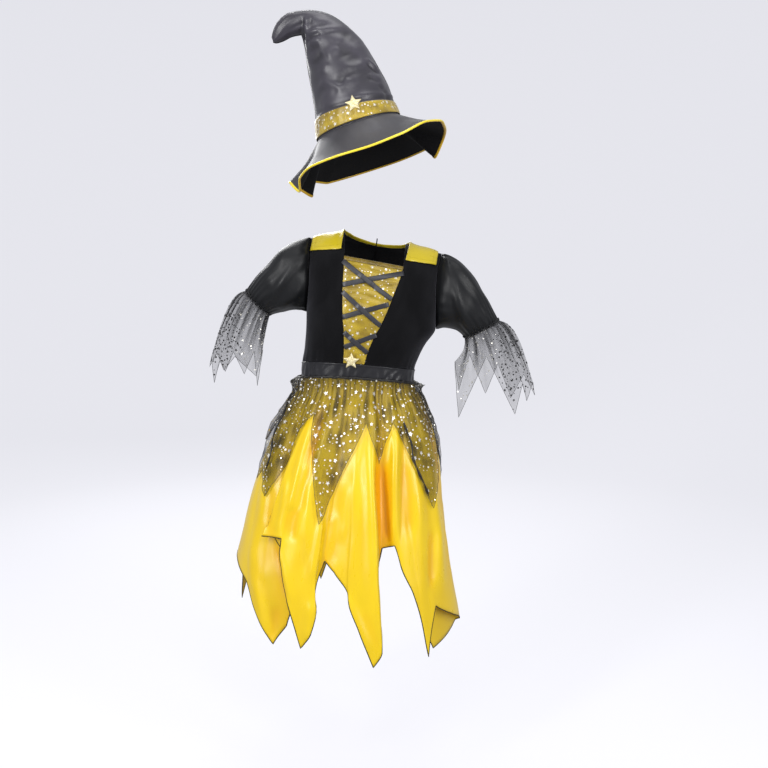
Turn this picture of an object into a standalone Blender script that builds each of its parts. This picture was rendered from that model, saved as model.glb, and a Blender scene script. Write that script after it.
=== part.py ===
"""Child's witch costume: a dress with a laced front, a flat collar, puff sleeves with net frills
and a zigzag skirt under a star net, and a pointed hat with a bent tip and a flared brim.

The origin is the middle of the neck base. X runs across, -Y is the front, Z is up.
Right and left are the wearer's, so the right side lies at -X.
Every piece of cloth is a closed wall between an outer surface and the same surface moved in.
"""
import math

import bpy
import numpy as np

for old in list(bpy.data.objects):
    bpy.data.objects.remove(old, do_unlink=True)

# Driving sizes in metres
MM = 0.001
SEAM_GAP = 0.0003
VELVET = 0.0018
SATIN = 0.0012
NET = 0.0010
COLLAR_CLOTH = 0.0020
BAND_CLOTH = 0.0016
HAT_CLOTH = 0.0014
BRIM_CLOTH = 0.0020

WAISTBAND_HEIGHT = 0.025
WAIST_FRONT_RISE = 0.012
SHOULDER_HEIGHT = 0.251
SHOULDER_ROUND = 0.070
ROUNDNESS = 0.87
PANEL_TOP = 0.209
BACK_NECK_HEIGHT = 0.238
COLLAR_LIFT = 0.0035
COLLAR_STAND = 0.0022
LACE_WIDTH = 0.008
LACE_LIFT = 0.0009
LACE_CLOTH = 0.0010
LACE_ARCH = 0.0018
LACE_CROSSING = 9.5
LACE_RAMP = 7.0
STAR_RADIUS = 0.0150
STAR_THICKNESS = 0.0030
WAIST_STAR_LIFT = 0.0019
HAT_STAR_LIFT = 0.0036
SLEEVE_STAND_OFF = 0.0007
FOLD_SWING = 1.5
FOLD_GROWTH = 0.7
EVENING_PASSES = 1
SKIRT_GATHER = 0.0008
NET_GATHER = 0.0005
OVERSKIRT_LIFT = 0.0046
OVERSKIRT_FLARE = 0.010
NET_SPAN = 2.5
SIDE_PUFF = 0.014
BINDING_WIDTH = 0.0048
BINDING_THICKNESS = 0.0034
BRIM_SAG = 0.004
BRIM_START_OUT = 0.4
BRIM_START_DROP = 0.5

# The torso leans: its middle line is an arc, upright at the waist and tilted at the neck
WAIST_LEAN = math.radians(3.3)
NECK_LEAN = math.radians(11.0)
NECK_ABOVE_WAIST = 0.230
LEAN_RATE = (NECK_LEAN - WAIST_LEAN) / NECK_ABOVE_WAIST

# Torso sections in mm: height above the waist seam, half widths, depths
TORSO_COLUMNS = ("height", "right", "left", "front", "back")
TORSO_SECTIONS = (
    (0, 102, 96, 79, 72),
    (25, 102, 97, 80, 73),
    (50, 100, 103, 82, 76),
    (74, 100, 112, 84, 80),
    (106, 102, 127, 86, 84),
    (150, 108, 128, 84, 87),
    (190, 113, 124, 76, 86),
    (229, 115, 119, 68, 80),
    (251, 115, 118, 64, 76),
)
SHOULDER_DROP = {"right": 0.022, "left": 0.004}
ARMPIT_HEIGHT = {"right": 0.108, "left": 0.105}

# Front panel edges in mm: height, distance to the right edge and to the left edge
PANEL_COLUMNS = ("height", "right", "left")
PANEL_EDGES = (
    (20, 27, 8),
    (50, 27.7, 13),
    (88, 31, 23),
    (104, 34, 30),
    (151, 41, 43),
    (209, 48, 53),
    (251, 57, 50),
)

# Armhole edge in degrees round from the front, by share of its height
ARMHOLE_COLUMNS = ("share", "degrees")
ARMHOLE_EDGE = ((0, 90), (0.06, 80), (0.2, 71), (0.45, 66), (0.75, 68), (1, 78))

# Collar rows in mm and degrees: distance out and angle over the shoulder, inner and outer edge
COLLAR_COLUMNS = ("share", "inner_out", "inner_over", "outer_out", "outer_over")
COLLAR_ROWS = (
    (0.00, 54, 57, 107, 50),
    (0.20, 56, 30, 108, 26),
    (0.38, 57, 0, 108.5, 0),
    (0.58, 50, -22, 104, -42),
    (0.80, 27, -33, 64, -74),
    (1.00, 0.3, -36, 0.3, -84),
)

# Crossed laces in mm: start out and height, end out and height; the falling one lies on top
LACE_COLUMNS = ("name", "start_out", "start_up", "end_out", "end_up")
LACE_PAIRS = (
    (("lace_top_down", -49, 201, 42.4, 151), ("lace_top_up", -42.7, 163, 55.7, 198)),
    (("lace_mid_down", -41, 152, 29.7, 104), ("lace_mid_up", -35.3, 111, 38.7, 142)),
    (("lace_low_down", -30, 87, 12.6, 55), ("lace_low_up", -27.7, 61.5, 24.6, 88)),
)
WAIST_STAR = (-13.5, 39.0)

# Sleeve sections in mm: top and bottom of the outline, half depth and middle from front to back
SLEEVE_COLUMNS = ("share", "top_x", "top_z", "bottom_x", "bottom_z", "depth", "middle")
SLEEVE_RIGHT = (
    (0.00, -111.8, 22.4, -124.3, -107, 44, 0),
    (0.15, -131, 17.5, -134, -105, 50, 0),
    (0.35, -157, 5, -150, -106, 54, 0),
    (0.58, -184, -21, -163, -108, 51, 3),
    (0.80, -207, -44, -176, -111, 43, 8),
    (0.92, -220, -60, -183, -113, 37, 12),
    (1.00, -229, -73, -188.5, -114.5, 32, 15),
)
SLEEVE_LEFT = (
    (0.00, 120.5, -5, 110.5, -138, 44, 0),
    (0.15, 134, -11, 121, -136, 50, 0),
    (0.35, 149, -21, 133, -137.5, 54, 0),
    (0.58, 175, -49, 144, -141, 52, 2),
    (0.80, 198, -88, 152, -146, 45, 6),
    (0.92, 211, -109, 157, -151, 38, 10),
    (1.00, 219.5, -124.5, 160.5, -155, 32, 14),
)

# Lower edge of each frill in mm: degrees round the cuff from its outer side, then the place
FRILL_COLUMNS = ("round", "x", "y", "z")
FRILL_RIGHT = (
    (-10, -296, 8, -206),
    (15, -288, -14, -186),
    (40, -281, -30, -230),
    (58, -268, -42, -190),
    (78, -260, -48, -206),
    (112, -240, -52, -182),
    (148, -206, -40, -217),
    (176, -197, -14, -174),
    (205, -214, 28, -243),
    (228, -222, 48, -182),
    (252, -243, 62, -226),
    (276, -262, 60, -184),
    (302, -276, 50, -220),
    (326, -287, 32, -184),
)
FRILL_LEFT = (
    (-10, 287, 10, -258),
    (12, 279, -12, -232),
    (32, 266, -30, -262),
    (52, 256, -40, -230),
    (74, 243, -48, -283),
    (112, 192, -46, -182),
    (150, 146, -34, -291),
    (180, 141, -2, -196),
    (206, 152, 34, -252),
    (228, 172, 48, -188),
    (252, 204, 60, -262),
    (276, 226, 58, -206),
    (302, 250, 50, -268),
    (326, 270, 32, -222),
)

# Skirt sections in mm: drop below the waist, middle, half width, half depth
SKIRT_COLUMNS = ("drop", "middle", "across", "depth")
SKIRT_SECTIONS = (
    (0, -31.5, 98.5, 77),
    (15, -31, 106, 84),
    (45, -32, 121, 98),
    (93, -36, 143, 116),
    (148, -42, 160, 130),
    (260, -52, 181, 150),
    (330, -58, 193, 160),
    (470, -58, 206, 172),
)

# Skirt hem: degrees round at the waist and at the hem, fold outwards and drop in mm
HEM_COLUMNS = ("waist", "hem", "fold", "drop")
HEM_FRONT = (
    (-90, -91, 3, 309),
    (-85, -74, 5, 317),
    (-77, -55, 6, 341),
    (-70, -47, 7, 376),
    (-63, -40, 6, 407),
    (-57, -33.3, 3, 432),
    (-52, -27.5, -5, 400),
    (-49, -24.4, -3, 362),
    (-46, -26, 1, 318),
    (-43, -31, 6, 278),
    (-40, -38, 10, 252),
    (-37, -44, 15, 250),
    (-34, -44, 19, 252),
    (-31, -38, 18, 250),
    (-29, -32, 17, 250),
    (-27, -31.5, 16, 272),
    (-25, -29, 14, 300),
    (-22.5, -24.5, 13, 352),
    (-18.5, -17.6, 10, 428),
    (-15.5, -13, 9, 404),
    (-13, -11.4, 7, 376),
    (-11, -12, 3, 338),
    (-8, -8.8, -6, 286),
    (-4, -3, -2, 303),
    (1, 4, 6, 334),
    (3, 4.6, 9, 350),
    (6, 8.5, 11, 392),
    (10, 15, 13, 458),
    (13.5, 19, 14, 436),
    (15.5, 19.5, 7, 400),
    (17, 18, -7, 345),
    (20, 23, -16, 272),
    (24, 29, -4, 266),
    (27, 31.5, 4, 300),
    (31, 37, 7, 343),
    (35, 41.5, 8, 400),
    (39, 44.3, 10, 461),
    (42, 46.6, 10, 425),
    (46, 51, 11, 378),
    (53, 66, 11, 408),
    (59, 82, 9, 436),
    (63, 84, 2, 442),
    (67, 73, -6, 452),
    (72, 56, -13, 464),
    (76, 50, -17, 415),
    (81, 55, -22, 345),
    (90, 82, -20, 272),
)

# Points at the back of the hem: degrees round and drop in mm
BACK_POINT_COLUMNS = ("round", "drop")
BACK_POINTS = ((110, 452), (138, 430), (166, 448), (195, 436), (223, 450), (249, 432))
BACK_VALLEY_DROP = 275
BACK_FOLD = 11

# Net overskirt hem: degrees round at the waist, drop in mm, share of the flare at its tip
OVERSKIRT_COLUMNS = ("waist", "drop", "flare")
OVERSKIRT_FRONT = (
    (-84, 58, 0.3),
    (-74, 170, 0.2),
    (-69, 152, 0),
    (-60, 193, 0.1),
    (-46, 118, 0),
    (-31.5, 50, 0),
    (-22, 130, 0),
    (-14.5, 224, 0.1),
    (-2, 124, 0),
    (8, 62, 0),
    (16.5, 128, 0),
    (28, 64, 0),
    (38, 124, 0),
    (49.5, 212, 0.1),
    (60, 120, 0.2),
    (70, 70, 0.5),
    (82, 150, 1),
    (94, 60, 0.3),
)
OVERSKIRT_BACK = (
    (94, 60, 0.3),
    (110, 196, 0),
    (125, 70, 0),
    (140, 140, 0),
    (154, 62, 0),
    (169, 218, 0),
    (183, 66, 0),
    (197, 150, 0),
    (211, 64, 0),
    (226, 204, 0),
    (240, 66, 0),
    (255, 120, 1),
    (266, 118, 1),
    (276, 58, 0.3),
)

# Hat frame: middle of the head opening and the tilt of its plane
HAT_CENTRE = (-0.028, 0.0, 0.2047)
HAT_TILT = math.radians(17.3)

# Hat cone sections in mm and degrees: place across and up, half width, tilt, half depth
CONE_COLUMNS = ("share", "across", "up", "half", "tilt", "depth")
CONE_SECTIONS = (
    (0.00, 0, 0, 72.9, 0, 86),
    (0.09, 2.4, 24, 68.5, -4.4, 80),
    (0.24, 5.6, 68, 64, -10, 68),
    (0.36, 4.5, 103, 58.5, -13, 57),
    (0.47, 2.3, 134, 51, -11, 47),
    (0.60, -6.4, 167, 38.8, -2, 36),
    (0.70, -25, 188, 25, 36, 26),
    (0.77, -41, 194.5, 19.4, 70, 20),
    (0.84, -59.3, 196.6, 19, 82, 17),
    (0.91, -77, 191.6, 16, 90, 14),
    (0.97, -90.5, 185, 9, 89, 8),
    (1.00, -95, 182.5, 3.6, 88, 3.4),
)
HAT_BAND_TOP = 0.098
HAT_BAND_LIFT = 0.0024

# Brim rim: degrees round from the front, reach outwards and drop in mm
BRIM_COLUMNS = ("round", "reach", "drop")
BRIM_RIM = (
    (-144, 63, 57),
    (-127, 60, 50),
    (-106, 46, 81),
    (-89, 69, 50),
    (-71, 61, 75),
    (-56, 66, 58),
    (-38, 68, 51),
    (-20, 69, 52),
    (0, 67, 54),
    (22, 69, 49),
    (45, 75, 38),
    (60, 75, 38),
    (74, 71, 44),
    (86, 69, 49),
    (97, 67, 55),
    (108, 49, 81),
    (127, 64, 56),
    (150, 65, 56),
    (180, 66, 55),
    (216, 63, 57),
)


def column(table, columns, name):
    """One named column of a table as an array."""
    place = columns.index(name)
    return np.array([row[place] for row in table], dtype=float)


def smooth_read(knots, values, at):
    """Read a smooth curve through the knots that never overshoots them."""
    knots = np.asarray(knots, dtype=float)
    values = np.asarray(values, dtype=float)
    at = np.clip(np.asarray(at, dtype=float), knots[0], knots[-1])
    steps = np.diff(knots)
    slopes = np.diff(values) / steps
    tangents = np.zeros_like(values)
    same_way = slopes[:-1] * slopes[1:] > 0
    means = 2 * slopes[:-1] * slopes[1:] / np.where(same_way, slopes[:-1] + slopes[1:], 1)
    tangents[1:-1] = np.where(same_way, means, 0)
    tangents[0] = slopes[0]
    tangents[-1] = slopes[-1]
    cell = np.clip(np.searchsorted(knots, at, side="right") - 1, 0, len(steps) - 1)
    t = (at - knots[cell]) / steps[cell]
    rise = values[cell + 1] - values[cell]
    ease = t * t * (3 - 2 * t)
    start_pull = t * (1 - t) ** 2 * tangents[cell] * steps[cell]
    end_pull = t * t * (t - 1) * tangents[cell + 1] * steps[cell]
    return values[cell] + rise * ease + start_pull + end_pull


def reader(table, columns, key):
    """A function that reads any column of the table smoothly, by its key column."""
    knots = column(table, columns, key)

    def read(name, at):
        return smooth_read(knots, column(table, columns, name), at)

    return read


def even_between(knots, counts):
    """Each stretch between two knots cut into its count of even parts."""
    parts = [np.linspace(a, b, n, endpoint=False) for a, b, n in zip(knots[:-1], knots[1:], counts)]
    return np.concatenate(parts + [np.array([knots[-1]])])


def soft_step(x):
    """Smooth rise from 0 to 1 while x goes from 0 to 1."""
    x = np.clip(x, 0, 1)
    return x * x * (3 - 2 * x)


def surface_normals(grid, wraps):
    """Unit normals of a grid of points, by the steps along its two directions."""
    if wraps:
        along = np.roll(grid, -1, axis=0) - np.roll(grid, 1, axis=0)
    else:
        along = np.gradient(grid, axis=0)
    down = np.gradient(grid, axis=1)
    normals = np.cross(along, down)
    return normals / np.linalg.norm(normals, axis=2, keepdims=True)


def moved_out(grid, distance, wraps, facing):
    """The grid moved along its normals; facing is 1 or -1, so that plus is outwards."""
    return grid + surface_normals(grid, wraps) * distance * facing


def closed_wall(name, outer, inner, wraps, material):
    """One closed solid between two grids of the same size."""
    columns, rows = outer.shape[:2]
    points = np.concatenate([outer.reshape(-1, 3), inner.reshape(-1, 3)])
    shift = columns * rows
    spans = columns if wraps else columns - 1

    def spot(i, j):
        return (i % columns) * rows + j

    faces = []
    for i in range(spans):
        for j in range(rows - 1):
            quad = (spot(i, j), spot(i + 1, j), spot(i + 1, j + 1), spot(i, j + 1))
            faces.append(quad)
            faces.append(tuple(shift + k for k in reversed(quad)))
        top = (spot(i, 0), spot(i + 1, 0))
        low = (spot(i, rows - 1), spot(i + 1, rows - 1))
        faces.append((top[1], top[0], shift + top[0], shift + top[1]))
        faces.append((low[0], low[1], shift + low[1], shift + low[0]))
    if not wraps:
        for j in range(rows - 1):
            first = (spot(0, j), spot(0, j + 1))
            last = (spot(columns - 1, j), spot(columns - 1, j + 1))
            faces.append((first[0], first[1], shift + first[1], shift + first[0]))
            faces.append((last[1], last[0], shift + last[0], shift + last[1]))
    return add_solid(name, points, faces, material)


def signed_volume(points, faces):
    """Volume inside the faces, negative when they point inwards."""
    total = 0.0
    for face in faces:
        a = points[face[0]]
        for k in range(1, len(face) - 1):
            total += float(np.dot(a, np.cross(points[face[k]], points[face[k + 1]])))
    return total / 6


def add_solid(name, points, faces, material):
    """A smooth shaded object whose faces point outwards."""
    if signed_volume(points, faces) < 0:
        faces = [tuple(reversed(face)) for face in faces]
    mesh = bpy.data.meshes.new(name)
    mesh.from_pydata([tuple(map(float, p)) for p in points], [], faces)
    mesh.materials.append(material)
    mesh.shade_smooth()
    mesh.set_sharp_from_angle(angle=math.radians(50))
    piece = bpy.data.objects.new(name, mesh)
    bpy.context.scene.collection.objects.link(piece)
    return piece


def cloth(name, colour, roughness, metallic=0.0):
    """A material of one colour."""
    material = bpy.data.materials.new(name)
    material.use_nodes = True
    shader = material.node_tree.nodes["Principled BSDF"]
    shader.inputs["Base Color"].default_value = (*colour, 1.0)
    shader.inputs["Roughness"].default_value = roughness
    shader.inputs["Metallic"].default_value = metallic
    return material


BLACK_VELVET = cloth("black velvet", (0.006, 0.006, 0.007), 0.95)
BLACK_SATIN = cloth("black satin", (0.012, 0.013, 0.015), 0.55)
RIBBON_SATIN = cloth("ribbon satin", (0.030, 0.030, 0.034), 0.40)
GOLD_SATIN = cloth("gold satin", (0.62, 0.47, 0.03), 0.35)
GOLD_NET = cloth("gold star net", (0.38, 0.27, 0.03), 0.45)
YELLOW_SATIN = cloth("yellow satin", (0.86, 0.58, 0.01), 0.32)
DARK_NET = cloth("dark star net", (0.20, 0.20, 0.21), 0.60)
OVER_NET = cloth("dark net over yellow", (0.33, 0.24, 0.03), 0.55)
GLITTER = cloth("gold glitter", (0.75, 0.62, 0.30), 0.40, 0.6)
HAT_SATIN = cloth("dark hat satin", (0.060, 0.055, 0.065), 0.42)
BRIGHT_BINDING = cloth("bright yellow binding", (0.90, 0.75, 0.03), 0.40)


read_torso = reader(TORSO_SECTIONS, TORSO_COLUMNS, "height")
read_panel = reader(PANEL_EDGES, PANEL_COLUMNS, "height")
read_armhole = reader(ARMHOLE_EDGE, ARMHOLE_COLUMNS, "share")


def torso_place(out, fore, up):
    """A point of the leaning torso in the part's frame."""
    lean = WAIST_LEAN + LEAN_RATE * up
    middle_x = (math.cos(NECK_LEAN) - np.cos(lean)) / LEAN_RATE
    middle_z = (np.sin(lean) - math.sin(NECK_LEAN)) / LEAN_RATE
    return np.stack([middle_x + out * np.cos(lean), fore, middle_z - out * np.sin(lean)], axis=-1)


def half_width(side, level):
    return read_torso(side, level / MM) * MM


def turn_at(side, out, level):
    """Degrees round the torso at which a point lies so far out."""
    share = np.clip(out / half_width(side, level), 0, 1)
    return np.degrees(np.arcsin(share ** (1 / ROUNDNESS)))


def torso_surface(side, turn, level):
    """Point of the torso: turn in degrees from the front, level measured before the shoulder slopes."""
    angle = np.radians(turn)
    across = np.sin(angle)
    ahead = np.cos(angle)
    out = half_width(side, level) * np.abs(across) ** ROUNDNESS
    depth = np.where(ahead >= 0, read_torso("front", level / MM), read_torso("back", level / MM)) * MM
    below = np.clip((SHOULDER_HEIGHT - level) / SHOULDER_ROUND, 0, 1)
    rounding = np.sqrt(np.clip(1 - (1 - below) ** 2, 0, 1))
    fore = -depth * rounding * np.sign(ahead) * np.abs(ahead) ** ROUNDNESS
    slope = SHOULDER_DROP[side] * np.clip((out - 0.050) / 0.062, 0, 1)
    sloped = soft_step((level - ARMPIT_HEIGHT[side]) / (SHOULDER_HEIGHT - ARMPIT_HEIGHT[side]))
    lifted = WAIST_FRONT_RISE * np.clip(ahead, 0, 1) ** 1.2 * (1 - soft_step(level / 0.100))
    sign = -1 if side == "right" else 1
    return torso_place(sign * out, fore, level - slope * sloped + lifted)


def over_shoulder(side, out, over):
    """Point of the torso so far out and so many degrees over the shoulder line, plus to the front."""
    level = SHOULDER_HEIGHT - SHOULDER_ROUND * (1 - np.cos(np.radians(over)))
    turn = turn_at(side, out, level)
    return torso_surface(side, np.where(over >= 0, turn, 180 - turn), level)


def bodice_levels(low_rows, high_rows):
    """Heights of the bodice rows: even below the shoulder rounding, by its angle above."""
    foot = WAISTBAND_HEIGHT + 2 * SEAM_GAP
    bend = SHOULDER_HEIGHT - SHOULDER_ROUND
    low = np.linspace(foot, bend, low_rows, endpoint=False)
    over = np.radians(np.linspace(90, 0.35, high_rows))
    return np.concatenate([low, SHOULDER_HEIGHT - SHOULDER_ROUND * (1 - np.cos(over))])


def armhole_turn(side, level):
    """Degrees round at the side seam, and at the armhole edge above the armpit."""
    foot = ARMPIT_HEIGHT[side]
    return read_armhole("degrees", np.clip((level - foot) / (SHOULDER_HEIGHT - foot), 0, 1))


def gap_turn(side, level):
    """Degrees that half a seam gap takes at the side of the torso."""
    return np.degrees(SEAM_GAP / half_width(side, level))


FRONT_COLUMNS = 7
BACK_COLUMNS = 8
PANEL_COLUMN_COUNT = 7


def front_edge_turn(side, level):
    """Degrees round of the seam between the front panel and the side front."""
    return turn_at(side, read_panel(side, level / MM) * MM, level)


def build_bodice_front(side):
    levels = bodice_levels(8, 7)
    rows = []
    for share in np.linspace(0, 1, FRONT_COLUMNS):
        first = front_edge_turn(side, levels) + gap_turn(side, levels)
        last = armhole_turn(side, levels) - gap_turn(side, levels)
        rows.append(torso_surface(side, first + (last - first) * share, levels))
    half_gap = np.array([0.0, SEAM_GAP / 2, 0.0])
    outer = np.array(rows) - half_gap
    inner = moved_out(outer, -VELVET, False, -1 if side == "right" else 1)
    inner[:, :, 1] = np.minimum(inner[:, :, 1], -SEAM_GAP / 2)
    closed_wall("bodice_front_" + side, outer, inner, False, BLACK_VELVET)


def build_bodice_back(side):
    levels = bodice_levels(8, 7)
    neck_depth = SHOULDER_HEIGHT - BACK_NECK_HEIGHT
    below = np.clip((SHOULDER_HEIGHT - levels) / neck_depth, 0, 1)
    neck_out = 0.057 * np.sqrt(1 - below ** 2)
    middle = 180 - turn_at(side, neck_out, levels) - gap_turn(side, levels) * 0.5
    first = 180 - armhole_turn(side, levels) + gap_turn(side, levels)
    rows = []
    for share in np.linspace(0, 1, BACK_COLUMNS):
        rows.append(torso_surface(side, first + (middle - first) * share, levels))
    half_gap = np.array([0.0, SEAM_GAP / 2, 0.0])
    outer = np.array(rows) + half_gap
    inner = moved_out(outer, -VELVET, False, -1 if side == "right" else 1)
    inner[:, :, 1] = np.maximum(inner[:, :, 1], SEAM_GAP / 2)
    closed_wall("bodice_back_" + side, outer, inner, False, BLACK_VELVET)


def build_front_panel():
    levels = bodice_levels(8, 7)
    levels = np.append(levels[levels < PANEL_TOP - 0.004], PANEL_TOP)
    right = -front_edge_turn("right", levels) + gap_turn("right", levels)
    left = front_edge_turn("left", levels) - gap_turn("left", levels)
    rows = []
    for share in np.linspace(0, 1, PANEL_COLUMN_COUNT):
        turn = right + (left - right) * share
        on_right = torso_surface("right", np.minimum(turn, 0), levels)
        on_left = torso_surface("left", np.maximum(turn, 0), levels)
        rows.append(np.where((turn < 0)[:, None], on_right, on_left))
    grid = np.array(rows)
    closed_wall("front_panel", grid, moved_out(grid, -SATIN, False, 1), False, GOLD_NET)


def build_waistband():
    turns = np.linspace(-180 + 0.1, 180 - 0.1, 39)
    levels = np.linspace(WAISTBAND_HEIGHT, 0, 3)
    rows = []
    for turn in turns:
        side = "right" if turn < 0 else "left"
        rows.append(torso_surface(side, np.full(3, abs(turn)), levels))
    grid = np.array(rows)
    outer = moved_out(grid, 0.0006, False, -1)
    closed_wall("waistband", outer, moved_out(grid, 0.0006 - BAND_CLOTH, False, -1), False, BLACK_SATIN)


def build_collar(side):
    read = reader(COLLAR_ROWS, COLLAR_COLUMNS, "share")
    rows = []
    lifts = []
    for along in even_between(column(COLLAR_ROWS, COLLAR_COLUMNS, "share"), (2, 3, 3, 3, 3)):
        shares = np.linspace(0, 1, 6)
        out = read("inner_out", along) + (read("outer_out", along) - read("inner_out", along)) * shares
        over = read("inner_over", along) + (read("outer_over", along) - read("inner_over", along)) * shares
        rows.append(over_shoulder(side, out * MM, over))
        lifts.append(COLLAR_LIFT + COLLAR_STAND * np.exp(-shares / 0.12))
    grid = np.array(rows)
    lift = np.array(lifts)[:, :, None]
    facing = 1 if side == "right" else -1
    outer = moved_out(grid, lift, False, facing)
    inner = moved_out(grid, lift - COLLAR_CLOTH, False, facing)
    closed_wall("collar_" + side, outer, inner, False, GOLD_SATIN)


def panel_point(out, up):
    """Point of the front by its distance out from the middle and its height, both in mm."""
    side = "right" if out < 0 else "left"
    level = up * MM - WAIST_FRONT_RISE * (1 - soft_step(up * MM / 0.100))
    turn = turn_at(side, abs(out) * MM, level)
    return torso_surface(side, np.array([turn]), np.array([level]))[0]


def panel_normal(out, up):
    across = panel_point(out + 1, up) - panel_point(out - 1, up)
    upward = panel_point(out, up + 1) - panel_point(out, up - 1)
    normal = np.cross(across, upward)
    return normal / np.linalg.norm(normal)


def crossing_share(upper, lower):
    """Share of the upper lace's way at which the lower one passes under it."""
    first = np.array(upper[1:3], dtype=float)
    run = np.array(upper[3:5]) - first
    other = np.array(lower[3:5], dtype=float) - np.array(lower[1:3])
    return float(np.linalg.solve(np.stack([run, -other], axis=1), np.array(lower[1:3]) - first)[0])


def build_lace(lace, arch_at):
    """A flat ribbon across the panel; it arches over the other lace where arch_at is a share."""
    name, start_out, start_up, end_out, end_up = lace
    run = np.array([end_out - start_out, end_up - start_up], dtype=float)
    length = np.linalg.norm(run)
    aside = np.array([-run[1], run[0]]) / length * LACE_WIDTH / MM * 0.5
    shares = np.linspace(0.03, 0.97, 8)
    if arch_at is not None:
        steps = np.array([LACE_CROSSING + LACE_RAMP, LACE_CROSSING + LACE_RAMP / 2, LACE_CROSSING, 4])
        beside = np.concatenate([-steps, steps[::-1]]) / length
        apart = np.abs(shares[:, None] - arch_at - beside[None]).min(axis=1) * length > 2
        shares = np.sort(np.concatenate([shares[apart], arch_at + beside]))
    rows_out = []
    rows_in = []
    for share in shares:
        arch = 0
        if arch_at is not None:
            beyond = abs(share - arch_at) * length - LACE_CROSSING
            arch = LACE_ARCH * soft_step(1 - beyond / LACE_RAMP)
        outer = []
        inner = []
        for edge in (-1, 1):
            out, up = np.array([start_out, start_up]) + run * share + aside * edge
            spot = panel_point(out, up)
            normal = panel_normal(out, up)
            outer.append(spot + normal * (LACE_LIFT + LACE_CLOTH + arch))
            inner.append(spot + normal * (LACE_LIFT + arch))
        rows_out.append(outer)
        rows_in.append(inner)
    closed_wall(name, np.array(rows_out), np.array(rows_in), False, RIBBON_SATIN)


def build_star(name, centre, across, upward, normal):
    """A five pointed star with a raised middle."""
    rim = []
    for k in range(10):
        angle = math.pi / 2 + k * math.pi / 5
        radius = STAR_RADIUS if k % 2 == 0 else STAR_RADIUS * 0.5
        rim.append(centre + (across * math.cos(angle) + upward * math.sin(angle)) * radius)
    back = [spot - normal * STAR_THICKNESS * 0.35 for spot in rim]
    points = np.array(rim + back + [centre + normal * STAR_THICKNESS * 0.65])
    faces = [tuple(10 + k for k in reversed(range(10)))]
    for k in range(10):
        after = (k + 1) % 10
        faces.append((k, after, 20))
        faces.append((k, 10 + k, 10 + after, after))
    add_solid(name, points, faces, GLITTER)


def build_waist_star():
    centre = panel_point(*WAIST_STAR)
    normal = panel_normal(*WAIST_STAR)
    upward = np.array([0.05, 0.0, 1.0])
    upward = upward - normal * np.dot(upward, normal)
    upward = upward / np.linalg.norm(upward)
    across = np.cross(upward, normal)
    build_star("waist_star", centre + normal * WAIST_STAR_LIFT, across, upward, normal)


def sleeve_surface(table, turns, shares, gather):
    """Grid of a puff sleeve; gathers ripple it near the armhole and the cuff."""
    read = reader(table, SLEEVE_COLUMNS, "share")
    top = np.stack([read("top_x", shares), read("middle", shares), read("top_z", shares)], axis=-1)
    low = np.stack([read("bottom_x", shares), read("middle", shares), read("bottom_z", shares)], axis=-1)
    middle = (top + low) / 2
    half = (top - low) / 2
    depth = read("depth", shares)
    angle = np.radians(turns)[:, None, None]
    front = np.array([0.0, -1.0, 0.0]) * depth[:, None]
    ring = half[None] * np.cos(angle) + front[None] * np.sin(angle)
    ripple = gather * (np.exp(-shares / 0.10) * 0.5 + np.exp(-(1 - shares) / 0.16))
    waves = 1 + np.cos(14 * np.radians(turns))[:, None] * (ripple * (shares > 0))[None] / 40
    return (middle[None] + ring * waves[:, :, None]) * MM


def armhole_ring(side, turns):
    """The sleeve's first ring, just outside the armhole edge of the bodice."""
    foot = ARMPIT_HEIGHT[side]
    level = foot + (SHOULDER_HEIGHT - foot) * (1 + np.cos(np.radians(turns))) / 2
    level = np.minimum(level, SHOULDER_HEIGHT - 0.00001)
    edge = armhole_turn(side, level)
    ahead = np.sin(np.radians(turns)) >= 0
    ring = torso_surface(side, np.where(ahead, edge, 180 - edge), level)
    outward = np.array([math.cos(NECK_LEAN), 0.0, -math.sin(NECK_LEAN)]) * SLEEVE_STAND_OFF
    return ring + outward * (-1 if side == "right" else 1)


def build_sleeve(side, table):
    turns = np.arange(0, 360, 360 / 26)
    shares = np.array([0, 0.12, 0.26, 0.42, 0.58, 0.72, 0.84, 0.93, 1])
    grid = sleeve_surface(table, turns, shares, 1.6)
    grid[:, 0] = armhole_ring(side, turns)
    facing = -1 if side == "right" else 1
    closed_wall("sleeve_" + side, grid, moved_out(grid, -SATIN, True, facing), True, BLACK_SATIN)


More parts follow.
